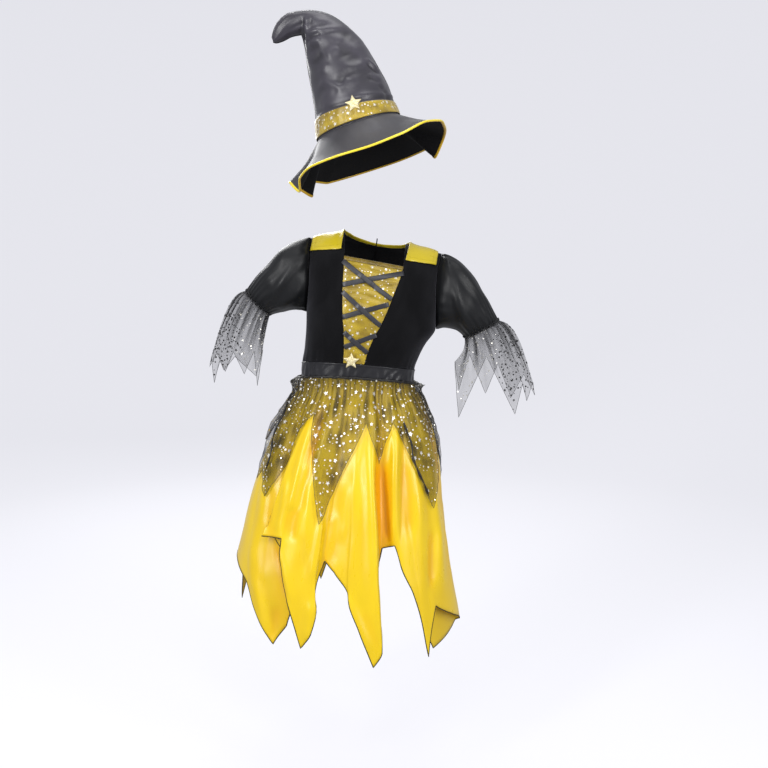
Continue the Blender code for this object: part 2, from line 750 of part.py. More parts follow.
def build_frill(side, edge, sleeve):
    """A net flounce that springs out from the cuff and hangs to its points."""
    degrees = column(edge, FRILL_COLUMNS, "round")
    knots = np.append(degrees, degrees[0] + 360)
    turns = even_between(knots, [4] * len(degrees))[:-1]
    cuff = sleeve_surface(sleeve, turns, np.array([0.90, 1.0]), 0)
    middle = cuff[:, 1].mean(axis=0)
    outward = cuff[:, 1] - middle
    outward = outward / np.linalg.norm(outward, axis=1, keepdims=True)
    along = cuff[:, 1].mean(axis=0) - cuff[:, 0].mean(axis=0)
    along = along / np.linalg.norm(along)
    start = cuff[:, 1] + outward * 0.0006 + along * 0.0006
    lower = []
    for name_of_axis in ("x", "y", "z"):
        values = column(edge, FRILL_COLUMNS, name_of_axis)
        lower.append(np.interp(turns, knots, np.append(values, values[0])) * MM)
    lower = np.stack(lower, axis=-1)
    spring = (1.2 + np.cos(np.radians(turns)))[:, None] / 2.2
    bend = start + outward * 0.022 * spring + along * 0.018
    shares = np.array([0, 0.18, 0.4, 0.7, 1.0])[None, :, None]
    hang = (1 - shares) ** 2 * start[:, None] + 2 * shares * (1 - shares) * bend[:, None]
    hang = hang + shares ** 2 * lower[:, None]
    wave = np.where(np.arange(len(turns)) % 4 == 0, 1.0, np.where(np.arange(len(turns)) % 4 == 2, -1.0, 0.0))
    ripple = 0.0028 * np.sin(np.pi * np.clip(shares * 1.1, 0, 1)) * wave[:, None, None]
    grid = hang + outward[:, None] * ripple
    facing = -1 if side == "right" else 1
    closed_wall("cuff_frill_" + side, grid, moved_out(grid, -NET, True, facing), True, DARK_NET)


def hem_back():
    """Rows of the back of the hem, joined to both ends of the front's rows."""
    rows = [HEM_FRONT[-1]]
    rounds = column(BACK_POINTS, BACK_POINT_COLUMNS, "round")
    drops = column(BACK_POINTS, BACK_POINT_COLUMNS, "drop")
    for k, (turn, drop) in enumerate(zip(rounds, drops)):
        rows.append((turn - 6, turn - 5, BACK_FOLD * 0.5, drop - 62))
        rows.append((turn, turn, BACK_FOLD, drop))
        rows.append((turn + 5, turn + 5, BACK_FOLD * 0.3, drop - 58))
        if k + 1 < len(rounds):
            middle = (turn + rounds[k + 1]) / 2
            rows.append((middle, middle, -BACK_FOLD, BACK_VALLEY_DROP + 6 * (k % 2)))
    rows.append((262, 261, -9, 345))
    first = HEM_FRONT[0]
    rows.append((first[0] + 360, first[1] + 360, first[2], first[3]))
    return tuple(rows)


HEM_BACK = hem_back()
read_skirt = reader(SKIRT_SECTIONS, SKIRT_COLUMNS, "drop")


def waist_ring(turns):
    """Top edge of the skirt, just below the waistband."""
    rings = []
    for turn in turns:
        turn = (turn + 180) % 360 - 180
        side = "right" if turn < 0 else "left"
        rings.append(torso_surface(side, np.array([abs(turn)]), np.array([0.0]))[0])
    return np.array(rings) - np.array([0, 0, SEAM_GAP])


def skirt_surface(hem, turns, reach):
    """Grid of the hanging skirt; reach gives, for each column, its drops in mm along the rows."""
    read = reader(hem, HEM_COLUMNS, "waist")
    full = read("drop", turns)[:, None]
    fall = np.clip(reach / full, 0, 1)
    start = turns[:, None]
    angle = np.radians(start + (read("hem", turns)[:, None] - start) * np.power(fall, FOLD_SWING))
    fold = read("fold", turns)[:, None] * np.power(fall, FOLD_GROWTH)
    middle = read_skirt("middle", reach)
    across = read_skirt("across", reach) + fold
    depth = read_skirt("depth", reach) + fold
    level = -(NECK_ABOVE_WAIST - 0.0035) / MM - reach
    loose = np.stack([middle + across * np.sin(angle), -depth * np.cos(angle), level], axis=-1) * MM
    top = waist_ring(turns)[:, None]
    hold = (1 - soft_step(reach / 40))[:, :, None]
    held = top + np.array([0, 0, -1.0]) * (reach * MM)[:, :, None]
    return loose * (1 - hold) + held * hold


def gathers(turns, reach, size):
    """Small pleats at the waist, in and out by turns, that fade below it."""
    sign = np.where(np.arange(len(turns)) % 2 == 0, 1.0, -1.0)[:, None]
    return sign * size * np.exp(-reach / 45) * soft_step(reach / 8)


def skirt_all_round(turns, reach):
    """The skirt's grid for turns that may pass from the front's rows to the back's."""
    first = HEM_FRONT[0][0]
    last = HEM_FRONT[-1][0]
    wound = np.where(turns < first, turns + 360, turns)
    wound = np.where(wound > first + 360, wound - 360, wound)
    front = skirt_surface(HEM_FRONT, np.clip(wound, first, last), reach)
    back = skirt_surface(HEM_BACK, np.clip(wound, last, first + 360), reach)
    return np.where((wound <= last)[:, None, None], front, back)


def skirt_layer(turns, reach, lift, passes):
    """The skirt's grid moved out by lift; the normals run on past both seams and are evened out."""
    beyond = 0.8
    turns_on = np.concatenate([[turns[0] - beyond], turns, [turns[-1] + beyond]])
    reach_on = np.concatenate([reach[:1], reach, reach[-1:]])
    normals = -surface_normals(skirt_all_round(turns_on, reach_on), False)
    for _ in range(passes):
        inside = (normals[:-2] + 2 * normals[1:-1] + normals[2:]) / 4
        normals = np.concatenate([normals[:1], inside, normals[-1:]])
        normals = normals / np.linalg.norm(normals, axis=2, keepdims=True)
    return skirt_all_round(turns, reach) + normals[1:-1] * lift


def net_layer(turns, reach, lift):
    """The skirt's grid moved out by lift along normals taken over a few degrees."""
    before = skirt_all_round(turns - NET_SPAN, reach)
    after = skirt_all_round(turns + NET_SPAN, reach)
    grid = skirt_all_round(turns, reach)
    normals = -np.cross(after - before, np.gradient(grid, axis=1))
    return grid + normals / np.linalg.norm(normals, axis=2, keepdims=True) * lift


def seamed_turns(knots, counts):
    """Turns of a skirt piece, drawn in by half a seam gap at both ends."""
    turns = even_between(knots, counts)
    inset = np.degrees(SEAM_GAP / 0.100)
    turns[0] = turns[0] + inset
    turns[-1] = turns[-1] - inset
    return turns


def build_skirt(name, hem, counts):
    turns = seamed_turns(column(hem, HEM_COLUMNS, "waist"), counts)
    drops = reader(hem, HEM_COLUMNS, "waist")("drop", turns)
    shares = np.array([0, 0.06, 0.16, 0.32, 0.50, 0.68, 0.85, 1])
    reach = drops[:, None] * shares[None]
    pleats = gathers(turns, reach, SKIRT_GATHER)[:, :, None]
    outer = skirt_layer(turns, reach, pleats, EVENING_PASSES)
    inner = skirt_layer(turns, reach, pleats - SATIN, EVENING_PASSES)
    closed_wall(name, outer, inner, False, YELLOW_SATIN)


def build_overskirt(name, edge, steps):
    knots = column(edge, OVERSKIRT_COLUMNS, "waist")
    turns = seamed_turns(knots, [steps] * (len(knots) - 1))
    drops = np.interp(turns, knots, column(edge, OVERSKIRT_COLUMNS, "drop"))
    flare = np.interp(turns, knots, column(edge, OVERSKIRT_COLUMNS, "flare"))
    shares = np.array([0, 0.12, 0.28, 0.5, 0.75, 1])
    reach = drops[:, None] * shares[None]
    side = np.abs(np.sin(np.radians(turns))) ** 8
    puff = SIDE_PUFF * side[:, None] * np.exp(-((reach - 12) / 12) ** 2)
    hang = OVERSKIRT_FLARE * flare[:, None] * shares[None] ** 2
    lift = (OVERSKIRT_LIFT + puff + hang + gathers(turns, reach, NET_GATHER))[:, :, None]
    closed_wall(name, net_layer(turns, reach, lift), net_layer(turns, reach, lift - NET), False, OVER_NET)


HAT_ACROSS = np.array([math.cos(HAT_TILT), 0.0, math.sin(HAT_TILT)])
HAT_UP = np.array([-math.sin(HAT_TILT), 0.0, math.cos(HAT_TILT)])
HAT_FORE = np.array([0.0, -1.0, 0.0])
read_cone = reader(CONE_SECTIONS, CONE_COLUMNS, "share")


def cone_surface(turns, shares):
    """Grid of the bent cone: turns in degrees from the front, shares from base to tip."""
    tilt = np.radians(read_cone("tilt", shares))[:, None]
    half_way = HAT_ACROSS * np.cos(tilt) + HAT_UP * np.sin(tilt)
    middle = read_cone("across", shares)[:, None] * HAT_ACROSS + read_cone("up", shares)[:, None] * HAT_UP
    angle = np.radians(np.broadcast_to(np.reshape(turns, (len(turns), -1)), (len(turns), len(shares))))[:, :, None]
    across = half_way[None] * read_cone("half", shares)[None, :, None] * np.sin(angle)
    fore = HAT_FORE[None, None] * read_cone("depth", shares)[None, :, None] * np.cos(angle)
    return np.array(HAT_CENTRE) + (middle[None] + across + fore) * MM


CONE_SHARES = (0, 0.05, 0.11, 0.18, 0.26, 0.34, 0.42, 0.5, 0.57, 0.63, 0.69, 0.75, 0.81, 0.87, 0.93, 0.97, 1)


def build_cone(name, first_turn):
    shares = np.array(CONE_SHARES)
    inset = np.degrees(SEAM_GAP / MM * 1.2 / read_cone("depth", shares))
    turns = first_turn + inset + (180 - 2 * inset) * np.linspace(0, 1, 13)[:, None]
    grid = cone_surface(turns, shares)
    closed_wall(name, grid, moved_out(grid, -HAT_CLOTH, False, 1), False, HAT_SATIN)


def build_hat_band():
    turns = np.arange(0, 360, 360 / 36)
    grid = cone_surface(turns, np.linspace(0.004, HAT_BAND_TOP, 3))
    outer = moved_out(grid, HAT_BAND_LIFT, True, 1)
    closed_wall("hat_band", outer, moved_out(grid, HAT_BAND_LIFT - BAND_CLOTH, True, 1), True, GOLD_NET)


def brim_rays(turns):
    """Start of each ray of the brim at the crown, its direction with length, and the brim's normal."""
    read = reader(BRIM_RIM, BRIM_COLUMNS, "round")
    wound = np.where(turns > 216, turns - 360, turns)
    angle = np.radians(turns)
    base = column(CONE_SECTIONS, CONE_COLUMNS, "half")[0] + BRIM_START_OUT
    deep = column(CONE_SECTIONS, CONE_COLUMNS, "depth")[0] + BRIM_START_OUT
    side = np.sin(angle)[:, None]
    ahead = np.cos(angle)[:, None]
    start = side * HAT_ACROSS * base + ahead * HAT_FORE * deep - HAT_UP * BRIM_START_DROP
    outward = side * HAT_ACROSS * deep + ahead * HAT_FORE * base
    outward = outward / np.linalg.norm(outward, axis=1, keepdims=True)
    ray = outward * read("reach", wound)[:, None] - HAT_UP * read("drop", wound)[:, None]
    return np.array(HAT_CENTRE) + start * MM, ray * MM


def brim_turns():
    knots = column(BRIM_RIM, BRIM_COLUMNS, "round")
    counts = [3 if b - a > 14 else 2 for a, b in zip(knots[:-1], knots[1:])]
    return even_between(knots, counts)[:-1]


def brim_surface(turns, left_over):
    """Grid of the brim: each ray from the crown outwards, its lengths left over to the rim in m."""
    start, ray = brim_rays(turns)
    length = np.linalg.norm(ray, axis=1)[:, None]
    shares = 1 - left_over / length
    sag = BRIM_SAG * np.sin(np.pi * np.clip(shares, 0, 1))[:, :, None] * HAT_UP
    return start[:, None] + ray[:, None] * shares[:, :, None] - sag


def build_brim():
    turns = brim_turns()
    length = np.linalg.norm(brim_rays(turns)[1], axis=1)[:, None]
    edge = BINDING_WIDTH + SEAM_GAP
    left_over = edge + (length - edge) * np.linspace(1, 0, 4)[None, :]
    grid = brim_surface(turns, left_over)
    closed_wall("hat_brim", grid, moved_out(grid, -BRIM_CLOTH, True, -1), True, HAT_SATIN)


def build_brim_binding():
    turns = brim_turns()
    left_over = np.array([[BINDING_WIDTH, BINDING_WIDTH / 2, 0.0]])
    grid = brim_surface(turns, left_over)
    spare = (BINDING_THICKNESS - BRIM_CLOTH) / 2
    upper = moved_out(grid, spare, True, -1)[:, ::2]
    lower = moved_out(grid, -spare - BRIM_CLOTH, True, -1)[:, ::2]
    closed_wall("brim_binding", upper, lower, True, BRIGHT_BINDING)


def build_hat_star():
    grid = cone_surface(np.array([-2.0, 0.0, 2.0]), np.array([0.080, 0.098, 0.116]))
    normal = surface_normals(grid, False)[1, 1]
    upward = grid[1, 2] - grid[1, 0]
    upward = upward / np.linalg.norm(upward)
    across = np.cross(upward, normal)
    build_star("hat_star", grid[1, 1] + normal * HAT_STAR_LIFT, across, upward, normal)


for part_side in ("right", "left"):
    build_bodice_front(part_side)
    build_bodice_back(part_side)
    build_collar(part_side)
build_front_panel()
build_waistband()
for upper_lace, lower_lace in LACE_PAIRS:
    build_lace(upper_lace, crossing_share(upper_lace, lower_lace))
    build_lace(lower_lace, None)
build_waist_star()
build_sleeve("right", SLEEVE_RIGHT)
build_sleeve("left", SLEEVE_LEFT)
build_frill("right", FRILL_RIGHT, SLEEVE_RIGHT)
build_frill("left", FRILL_LEFT, SLEEVE_LEFT)
build_skirt("skirt_front", HEM_FRONT, [1 if b[0] - a[0] < 3.6 else 2 for a, b in zip(HEM_FRONT, HEM_FRONT[1:])])
build_skirt("skirt_back", HEM_BACK, [2] * (len(HEM_BACK) - 1))
build_overskirt("overskirt_front", OVERSKIRT_FRONT, 3)
build_overskirt("overskirt_back", OVERSKIRT_BACK, 3)
build_cone("hat_cone_front", -90)
build_cone("hat_cone_back", 90)
build_hat_band()
build_brim()
build_brim_binding()
build_hat_star()
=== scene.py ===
"""Looks of the child's witch costume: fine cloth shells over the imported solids, with their folds,
prints, stitches and hems, and the studio round them.

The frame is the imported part's: metres, -Y is the front, Z is up, the origin is the neck base.
Right and left are the wearer's.
"""
import math

import bmesh
import bpy
import numpy as np
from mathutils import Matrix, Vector


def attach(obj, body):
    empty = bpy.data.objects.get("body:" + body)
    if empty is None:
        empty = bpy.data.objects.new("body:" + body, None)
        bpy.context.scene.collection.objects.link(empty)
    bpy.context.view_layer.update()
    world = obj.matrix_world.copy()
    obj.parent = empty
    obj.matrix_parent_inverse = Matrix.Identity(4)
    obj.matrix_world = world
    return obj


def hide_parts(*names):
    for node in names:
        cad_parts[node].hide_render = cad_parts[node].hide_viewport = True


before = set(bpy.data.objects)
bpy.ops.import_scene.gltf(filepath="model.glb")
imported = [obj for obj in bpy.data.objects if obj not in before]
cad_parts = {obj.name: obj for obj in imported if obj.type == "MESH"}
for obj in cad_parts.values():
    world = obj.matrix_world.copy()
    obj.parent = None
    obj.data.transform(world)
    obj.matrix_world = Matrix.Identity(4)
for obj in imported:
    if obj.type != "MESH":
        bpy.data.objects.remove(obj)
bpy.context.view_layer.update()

# Driving sizes in metres
MM = 0.001
SEAM_GAP = 0.0003
BRIM_CLOTH = 0.0020

WAISTBAND_HEIGHT = 0.025
WAIST_FRONT_RISE = 0.012
SHOULDER_HEIGHT = 0.251
SHOULDER_ROUND = 0.070
ROUNDNESS = 0.87
PANEL_TOP = 0.209
BACK_NECK_HEIGHT = 0.238
COLLAR_LIFT = 0.0035
COLLAR_STAND = 0.0022
LACE_WIDTH = 0.008
LACE_LIFT = 0.0009
LACE_CLOTH = 0.0010
LACE_ARCH = 0.0018
LACE_CROSSING = 9.5
LACE_RAMP = 7.0
STAR_RADIUS = 0.0150
STAR_THICKNESS = 0.0030
WAIST_STAR_LIFT = 0.0019
HAT_STAR_LIFT = 0.0036
SLEEVE_STAND_OFF = 0.0007
FOLD_SWING = 1.5
FOLD_GROWTH = 0.7
OVERSKIRT_LIFT = 0.0046
OVERSKIRT_FLARE = 0.010
NET_SPAN = 2.5
SIDE_PUFF = 0.014
BINDING_WIDTH = 0.0048
BINDING_THICKNESS = 0.0034
BRIM_SAG = 0.004
BRIM_START_OUT = 0.4
BRIM_START_DROP = 0.5

# The torso leans: its middle line is an arc, upright at the waist and tilted at the neck
WAIST_LEAN = math.radians(3.3)
NECK_LEAN = math.radians(11.0)
NECK_ABOVE_WAIST = 0.230
LEAN_RATE = (NECK_LEAN - WAIST_LEAN) / NECK_ABOVE_WAIST

# Torso sections in mm: height above the waist seam, half widths, depths
TORSO_COLUMNS = ("height", "right", "left", "front", "back")
TORSO_SECTIONS = (
    (0, 102, 96, 79, 72),
    (25, 102, 97, 80, 73),
    (50, 100, 103, 82, 76),
    (74, 100, 112, 84, 80),
    (106, 102, 127, 86, 84),
    (150, 108, 128, 84, 87),
    (190, 113, 124, 76, 86),
    (229, 115, 119, 68, 80),
    (251, 115, 118, 64, 76),
)
SHOULDER_DROP = {"right": 0.022, "left": 0.004}
ARMPIT_HEIGHT = {"right": 0.108, "left": 0.105}

# Front panel edges in mm: height, distance to the right edge and to the left edge
PANEL_COLUMNS = ("height", "right", "left")
PANEL_EDGES = (
    (20, 27, 8),
    (50, 27.7, 13),
    (88, 31, 23),
    (104, 34, 30),
    (151, 41, 43),
    (209, 48, 53),
    (251, 57, 50),
)

# Armhole edge in degrees round from the front, by share of its height
ARMHOLE_COLUMNS = ("share", "degrees")
ARMHOLE_EDGE = ((0, 90), (0.06, 80), (0.2, 71), (0.45, 66), (0.75, 68), (1, 78))

# Collar rows in mm and degrees: distance out and angle over the shoulder, inner and outer edge
COLLAR_COLUMNS = ("share", "inner_out", "inner_over", "outer_out", "outer_over")
COLLAR_ROWS = (
    (0.00, 54, 57, 107, 50),
    (0.20, 56, 30, 108, 26),
    (0.38, 57, 0, 108.5, 0),
    (0.58, 50, -22, 104, -42),
    (0.80, 27, -33, 64, -74),
    (1.00, 0.3, -36, 0.3, -84),
)

# Crossed laces in mm: start out and height, end out and height; the falling one lies on top
LACE_PAIRS = (
    (("lace_top_down", -49, 201, 42.4, 151), ("lace_top_up", -42.7, 163, 55.7, 198)),
    (("lace_mid_down", -41, 152, 29.7, 104), ("lace_mid_up", -35.3, 111, 38.7, 142)),
    (("lace_low_down", -30, 87, 12.6, 55), ("lace_low_up", -27.7, 61.5, 24.6, 88)),
)
WAIST_STAR = (-13.5, 39.0)

# Sleeve sections in mm: top and bottom of the outline, half depth and middle from front to back
SLEEVE_COLUMNS = ("share", "top_x", "top_z", "bottom_x", "bottom_z", "depth", "middle")
SLEEVE_RIGHT = (
    (0.00, -111.8, 22.4, -124.3, -107, 44, 0),
    (0.15, -131, 17.5, -134, -105, 50, 0),
    (0.35, -157, 5, -150, -106, 54, 0),
    (0.58, -184, -21, -163, -108, 51, 3),
    (0.80, -207, -44, -176, -111, 43, 8),
    (0.92, -220, -60, -183, -113, 37, 12),
    (1.00, -229, -73, -188.5, -114.5, 32, 15),
)
SLEEVE_LEFT = (
    (0.00, 120.5, -5, 110.5, -138, 44, 0),
    (0.15, 134, -11, 121, -136, 50, 0),
    (0.35, 149, -21, 133, -137.5, 54, 0),
    (0.58, 175, -49, 144, -141, 52, 2),
    (0.80, 198, -88, 152, -146, 45, 6),
    (0.92, 211, -109, 157, -151, 38, 10),
    (1.00, 219.5, -124.5, 160.5, -155, 32, 14),
)

# Lower edge of each frill in mm: degrees round the cuff from its outer side, then the place
FRILL_COLUMNS = ("round", "x", "y", "z")
FRILL_RIGHT = (
    (-10, -296, 8, -206),
    (15, -288, -14, -186),
    (40, -281, -30, -230),
    (58, -268, -42, -190),
    (78, -260, -48, -206),
    (112, -240, -52, -182),
    (148, -206, -40, -217),
    (176, -197, -14, -174),
    (205, -214, 28, -243),
    (228, -222, 48, -182),
    (252, -243, 62, -226),
    (276, -262, 60, -184),
    (302, -276, 50, -220),
    (326, -287, 32, -184),
)
FRILL_LEFT = (
    (-10, 287, 10, -258),
    (12, 279, -12, -232),
    (32, 266, -30, -262),
    (52, 256, -40, -230),
    (74, 243, -48, -283),
    (112, 192, -46, -182),
    (150, 146, -34, -291),
    (180, 141, -2, -196),
    (206, 152, 34, -252),
    (228, 172, 48, -188),
    (252, 204, 60, -262),
    (276, 226, 58, -206),
    (302, 250, 50, -268),
    (326, 270, 32, -222),
)

# Skirt sections in mm: drop below the waist, middle, half width, half depth
SKIRT_COLUMNS = ("drop", "middle", "across", "depth")
SKIRT_SECTIONS = (
    (0, -31.5, 98.5, 77),
    (15, -31, 106, 84),
    (45, -32, 121, 98),
    (93, -36, 143, 116),
    (148, -42, 160, 130),
    (260, -52, 181, 150),
    (330, -58, 193, 160),
    (470, -58, 206, 172),
)

# Skirt hem: degrees round at the waist and at the hem, fold outwards and drop in mm
HEM_COLUMNS = ("waist", "hem", "fold", "drop")
HEM_FRONT = (
    (-90, -91, 3, 309),
    (-85, -74, 5, 317),
    (-77, -55, 6, 341),
    (-70, -47, 7, 376),
    (-63, -40, 6, 407),
    (-57, -33.3, 3, 432),
    (-52, -27.5, -5, 400),
    (-49, -24.4, -3, 362),
    (-46, -26, 1, 318),
    (-43, -31, 6, 278),
    (-40, -38, 10, 252),
    (-37, -44, 15, 250),
    (-34, -44, 19, 252),
    (-31, -38, 18, 250),
    (-29, -32, 17, 250),
    (-27, -31.5, 16, 272),
    (-25, -29, 14, 300),
    (-22.5, -24.5, 13, 352),
    (-18.5, -17.6, 10, 428),
    (-15.5, -13, 9, 404),
    (-13, -11.4, 7, 376),
    (-11, -12, 3, 338),
    (-8, -8.8, -6, 286),
    (-4, -3, -2, 303),
    (1, 4, 6, 334),
    (3, 4.6, 9, 350),
    (6, 8.5, 11, 392),
    (10, 15, 13, 458),
    (13.5, 19, 14, 436),
    (15.5, 19.5, 7, 400),
    (17, 18, -7, 345),
    (20, 23, -16, 272),
    (24, 29, -4, 266),
    (27, 31.5, 4, 300),
    (31, 37, 7, 343),
    (35, 41.5, 8, 400),
    (39, 44.3, 10, 461),
    (42, 46.6, 10, 425),
    (46, 51, 11, 378),
    (53, 66, 11, 408),
    (59, 82, 9, 436),
    (63, 84, 2, 442),
    (67, 73, -6, 452),
    (72, 56, -13, 464),
    (76, 50, -17, 415),
    (81, 55, -22, 345),
    (90, 82, -20, 272),
)

# Points at the back of the hem: degrees round and drop in mm
BACK_POINT_COLUMNS = ("round", "drop")
BACK_POINTS = ((110, 452), (138, 430), (166, 448), (195, 436), (223, 450), (249, 432))
BACK_VALLEY_DROP = 275
BACK_FOLD = 11

# Net overskirt hem: degrees round at the waist, drop in mm, share of the flare at its tip
OVERSKIRT_COLUMNS = ("waist", "drop", "flare")
OVERSKIRT_FRONT = (
    (-84, 58, 0.3),
    (-74, 170, 0.2),
    (-69, 152, 0),
    (-60, 193, 0.1),
    (-46, 118, 0),
    (-31.5, 50, 0),
    (-22, 130, 0),
    (-14.5, 224, 0.1),
    (-2, 124, 0),
    (8, 62, 0),
    (16.5, 128, 0),
    (28, 64, 0),
    (38, 124, 0),
    (49.5, 212, 0.1),
    (60, 120, 0.2),
    (70, 70, 0.5),
    (82, 150, 1),
    (94, 60, 0.3),
)
OVERSKIRT_BACK = (
    (94, 60, 0.3),
    (110, 196, 0),
    (125, 70, 0),
    (140, 140, 0),
    (154, 62, 0),
    (169, 218, 0),
    (183, 66, 0),
    (197, 150, 0),
    (211, 64, 0),
    (226, 204, 0),
    (240, 66, 0),
    (255, 120, 1),
    (266, 118, 1),
    (276, 58, 0.3),
)

# Hat frame: middle of the head opening and the tilt of its plane
HAT_CENTRE = (-0.028, 0.0, 0.2047)
HAT_TILT = math.radians(17.3)

# Hat cone sections in mm and degrees: place across and up, half width, tilt, half depth
CONE_COLUMNS = ("share", "across", "up", "half", "tilt", "depth")
CONE_SECTIONS = (
    (0.00, 0, 0, 72.9, 0, 86),
    (0.09, 2.4, 24, 68.5, -4.4, 80),
    (0.24, 5.6, 68, 64, -10, 68),
    (0.36, 4.5, 103, 58.5, -13, 57),
    (0.47, 2.3, 134, 51, -11, 47),
    (0.60, -6.4, 167, 38.8, -2, 36),
    (0.70, -25, 188, 25, 36, 26),
    (0.77, -41, 194.5, 19.4, 70, 20),
    (0.84, -59.3, 196.6, 19, 82, 17),
    (0.91, -77, 191.6, 16, 90, 14),
    (0.97, -90.5, 185, 9, 89, 8),
    (1.00, -95, 182.5, 3.6, 88, 3.4),
)
HAT_BAND_TOP = 0.098
HAT_BAND_LIFT = 0.0024

# Brim rim: degrees round from the front, reach outwards and drop in mm
BRIM_COLUMNS = ("round", "reach", "drop")
BRIM_RIM = (
    (-144, 63, 57),
    (-127, 60, 50),
    (-106, 46, 81),
    (-89, 69, 50),
    (-71, 61, 75),
    (-56, 66, 58),
    (-38, 68, 51),
    (-20, 69, 52),
    (0, 67, 54),
    (22, 69, 49),
    (45, 75, 38),
    (60, 75, 38),
    (74, 71, 44),
    (86, 69, 49),
    (97, 67, 55),
    (108, 49, 81),
    (127, 64, 56),
    (150, 65, 56),
    (180, 66, 55),
    (216, 63, 57),
)

# Creases, in the front view in mm: from across and up, to across and up, width, height
HAT_CREASES = (
    (-120, 381, -120, 348, 4.0, -3.5),
    (-116, 380, -114, 355, 5.0, 2.0),
    (-114, 355, -59, 361, 5.0, 2.2),
    (-112, 348, -89, 353, 4.0, -1.6),
    (-110, 338, -89, 342, 5.0, 1.8),
    (-108, 332, -93, 332, 5.0, -1.2),
    (-104, 303, -87, 318, 6.0, -1.6),
    (-106, 373, -89, 367, 8.0, 1.2),
    (-78, 313, -59, 326, 8.0, 1.6),
    (-85, 285, -79, 301, 7.0, 1.2),
    (-90, 272, -51, 256, 6.0, 1.5),
    (-90, 264, -60, 252, 7.0, -1.2),
    (-60, 264, -29, 289, 8.0, -1.5),
    (-51, 258, -42, 274, 6.0, 1.2),
    (-42, 289, -16, 301, 7.0, 1.3),
    (-12, 303, 7, 288, 3.0, -2.4),
    (-14, 311, 3, 297, 3.5, 1.6),
    (-10, 278, 9, 272, 4.0, -1.6),
    (7, 268, 13, 261, 3.0, -1.2),
    (16, 260, 26, 243, 4.0, -2.0),
    (-29, 348, -4, 311, 10.0, 1.4),
    (-59, 338, -42, 313, 12.0, -1.5),
    (-76, 362, -42, 346, 8.0, -1.2),
    (-92, 218, -77, 229, 5.0, 1.2),
    (-94, 239, -68, 258, 8.0, 1.0),
)
SKIRT_CREASES = (
    (-90, -262, -115, -356, 10.0, -4.0),
    (-102, -276, -145, -440, 9.0, 4.0),
    (-135, -426, -139, -476, 10.0, -2.5),
    (-145, -377, -160, -469, 6.0, 2.5),
    (-186, -405, -213, -533, 14.0, 3.0),
    (-176, -405, -184, -462, 7.0, -2.0),
    (-167, -497, -147, -577, 6.0, -2.5),
    (-107, -384, -112, -512, 8.0, 2.0),
    (-87, -447, -105, -540, 8.0, 3.0),
    (-66, -433, -84, -512, 8.0, 2.0),
    (-42, -384, -56, -476, 10.0, 2.0),
    (-28, -328, -22, -584, 14.0, 3.0),
    (-7, -307, 8, -620, 5.0, 3.0),
    (-43, -569, -8, -657, 8.0, 2.0),
    (-102, -577, -113, -642, 10.0, 3.0),
    (13, -356, 23, -490, 8.0, -3.5),
    (35, -311, 32, -490, 7.0, 4.5),
    (51, -356, 61, -476, 10.0, -2.5),
    (71, -405, 83, -584, 10.0, 2.0),
    (95, -356, 118, -584, 8.0, 3.0),
    (99, -476, 97, -569, 6.0, -2.5),
    (-206, -555, -183, -639, 10.0, 1.5),
    (-165, -598, -173, -654, 10.0, -1.5),
)
RIGHT_SLEEVE_CREASES = (
    (-114, -6, -170, -68, 12.0, 2.0),
    (-118, -31, -181, -97, 10.0, -2.0),
    (-126, -68, -167, -104, 8.0, 2.0),
    (-151, -2, -203, -60, 8.0, 1.5),
    (-144, -24, -188, -78, 7.0, -1.8),
    (-121, -86, -137, -104, 5.0, 1.2),
)
LEFT_SLEEVE_CREASES = (
    (119, -28, 164, -141, 10.0, 2.0),
    (129, -20, 193, -115, 9.0, -2.2),
    (115, -53, 123, -130, 9.0, 1.5),
    (140, -24, 204, -104, 6.0, 1.8),
    (123, -78, 149, -141, 8.0, -1.8),
    (115, -17, 129, -22, 4.0, 1.2),
)

# Dark rolled edges of the overskirt, in the front view in mm: from across and up, to across and up
ROLLED_FOLDS = (
    (-151, -250, -189, -380),
    (49, -291, 90, -424),
)


def column(table, columns, name):
    """One named column of a table as an array."""
    place = columns.index(name)
    return np.array([row[place] for row in table], dtype=float)


def smooth_read(knots, values, at):
    """Read a smooth curve through the knots that never overshoots them."""
    knots = np.asarray(knots, dtype=float)
    values = np.asarray(values, dtype=float)
    at = np.clip(np.asarray(at, dtype=float), knots[0], knots[-1])
    steps = np.diff(knots)
    slopes = np.diff(values) / steps
    tangents = np.zeros_like(values)
    same_way = slopes[:-1] * slopes[1:] > 0
    means = 2 * slopes[:-1] * slopes[1:] / np.where(same_way, slopes[:-1] + slopes[1:], 1)
    tangents[1:-1] = np.where(same_way, means, 0)
    tangents[0] = slopes[0]
    tangents[-1] = slopes[-1]
    cell = np.clip(np.searchsorted(knots, at, side="right") - 1, 0, len(steps) - 1)
    t = (at - knots[cell]) / steps[cell]
    rise = values[cell + 1] - values[cell]
    ease = t * t * (3 - 2 * t)
    start_pull = t * (1 - t) ** 2 * tangents[cell] * steps[cell]
    end_pull = t * t * (t - 1) * tangents[cell + 1] * steps[cell]
    return values[cell] + rise * ease + start_pull + end_pull


def reader(table, columns, key):
    """A function that reads any column of the table smoothly, by its key column."""
    knots = column(table, columns, key)

    def read(name, at):
        return smooth_read(knots, column(table, columns, name), at)

    return read


def even_between(knots, counts):
    """Each stretch between two knots cut into its count of even parts."""
    parts = [np.linspace(a, b, n, endpoint=False) for a, b, n in zip(knots[:-1], knots[1:], counts)]
    return np.concatenate(parts + [np.array([knots[-1]])])


def soft_step(x):
    """Smooth rise from 0 to 1 while x goes from 0 to 1."""
    x = np.clip(x, 0, 1)
    return x * x * (3 - 2 * x)


